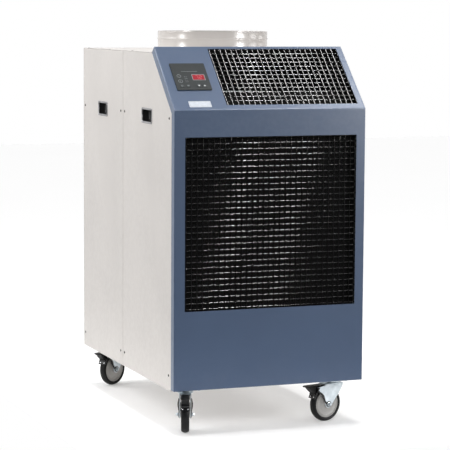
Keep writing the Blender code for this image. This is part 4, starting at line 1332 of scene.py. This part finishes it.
def studio_lights():
    """A wide sun overhead for the shadow, tubes for the wires' glints, softboxes around the object."""
    sun = bpy.data.lights.new("overhead_sky", "SUN")
    sun.energy = 2.05
    sun.angle = math.radians(17)
    add_object("overhead_sky", sun).matrix_world = turn(-2, "X") @ turn(-1, "Y")
    for letter, x, strength in (("a", 1.166, 95.0), ("b", 1.343, 45.0), ("c", 1.482, 66.0)):
        tube_light("overhead_tube_" + letter, x, strength)
    # name, place, point faced, size, radiance, kind
    lamps = (("overhead_box", (2.05, -0.60, 4.0), (0.33, -0.45, 1.25), (0.9, 1.0), 13.0, "gleam"),
             ("left_softbox", (-3.2, -0.15, 1.85), (0.0, 0.1, 1.2), (0.70, 1.2), 9.0, "both"),
             ("left_tube", (-3.1, -0.22, 1.95), (0.0, 0.0, 1.3), (0.30, 1.2), 30.0, "gleam"),
             ("left_rear_softbox", (-2.8, 1.5, 2.7), (-0.3, 0.2, 0.9), (0.9, 1.2), 16.0, "both"),
             ("front_right_softbox", (2.2, -2.5, 1.85), (0.0, 0.0, 1.25), (0.50, 1.3), 13.0, "both"),
             ("front_right_tube", (2.15, -2.44, 1.95), (0.0, 0.0, 1.3), (0.25, 1.2), 24.0, "gleam"),
             ("front_right_box", (2.45, -3.3, 1.50), (0.3, -0.5, 1.0), (0.60, 1.3), 37.0, "gleam"),
             ("right_softbox", (3.1, -0.95, 1.85), (0.0, 0.0, 1.2), (0.90, 1.3), 6.0, "both"),
             ("right_tube", (3.2, 0.50, 1.95), (0.0, 0.05, 1.3), (0.30, 1.2), 7.0, "gleam"),
             ("front_softbox", (-1.3, -4.2, 2.5), (0.0, -0.4, 0.9), (1.6, 1.2), 13.5, "fill"))
    for lamp in lamps:
        area_light(*lamp)


def studio_world():
    """White behind the object. Around it the room is bright behind and above, and dark in front."""
    world = bpy.data.worlds.new("studio")
    world.use_nodes = True
    bpy.context.scene.world = world
    tree = world.node_tree
    background = tree.nodes["Background"]
    background.inputs["Color"].default_value = (1.0, 1.0, 1.0, 1.0)
    coordinates = tree.nodes.new("ShaderNodeTexCoord")
    split = tree.nodes.new("ShaderNodeSeparateXYZ")
    tree.links.new(coordinates.outputs["Generated"], split.inputs[0])
    total = tree.nodes.new("ShaderNodeMath")
    ramps = (("Y", 0.12, 0.60, 0.025, 0.90), ("Z", 0.20, 0.95, 0.0, 0.04))
    for index, (axis, start, end, low, high) in enumerate(ramps):
        ramp = tree.nodes.new("ShaderNodeMapRange")
        ramp.interpolation_type = "SMOOTHSTEP"
        for name, number in (("From Min", start), ("From Max", end), ("To Min", low), ("To Max", high)):
            ramp.inputs[name].default_value = number
        tree.links.new(split.outputs[axis], ramp.inputs["Value"])
        tree.links.new(ramp.outputs["Result"], total.inputs[index])
    paths = tree.nodes.new("ShaderNodeLightPath")
    choose = tree.nodes.new("ShaderNodeMix")
    choose.data_type = "FLOAT"
    floats = [s for s in choose.inputs if s.type == "VALUE"]
    tree.links.new(paths.outputs["Is Camera Ray"], floats[0])
    tree.links.new(total.outputs[0], floats[1])
    floats[2].default_value = 1.0
    tree.links.new([s for s in choose.outputs if s.type == "VALUE"][0], background.inputs["Strength"])


def studio_floor():
    """A pale sheet that glows a little, like a light table, so shadows stay pale."""
    bm = bmesh.new()
    outline = ((-0.72, -0.95, 0), (1.10, -0.95, 0), (9.0, 14.0, 0), (-0.72, 14.0, 0))
    bm.faces.new([bm.verts.new(corner) for corner in outline])
    mesh = bpy.data.meshes.new("floor")
    bm.to_mesh(mesh)
    bm.free()
    look = Finish("studio_floor", 0.8)
    look.tones(look.noise(1.5), (0.76, 0.76, 0.76), (0.78, 0.78, 0.78))
    look.setting("Specular IOR Level", 0.0)
    look.setting("Emission Color", (1.0, 1.0, 1.0, 1.0))
    look.setting("Emission Strength", 0.24)
    look.bump(look.noise(40.0), 0.02, 0.0005)
    mesh.materials.append(LOOKS["studio_floor"])
    floor = add_object("floor", mesh)


# ---------------------------------------------------------------- assembly
add_camera()
all_materials()
front_cover()
for side_of, word_of in SIDES:
    side_panel(word_of + "_front_panel", side_of, True)
    side_panel(word_of + "_rear_panel", side_of, False)
    handle_cup(word_of + "_front_handle_cup", side_of)
    handle_cup(word_of + "_rear_handle_cup", side_of)
for build in (top_panel, rear_panel, duct_collar, grilles, control_plate, display, keys, label, screws,
              cord_gland):
    build()
finned_coil("condenser_coil", "condenser_fins", 0.0032)
finned_coil("evaporator_coil", "evaporator_fins", 0.0040)
for build in (filter_medium, filter_retainer, painted_shade_liner, casters, dress_cad_nodes, studio_world,
              studio_floor, studio_lights):
    build()
bpy.context.scene.view_settings.view_transform = "Standard"
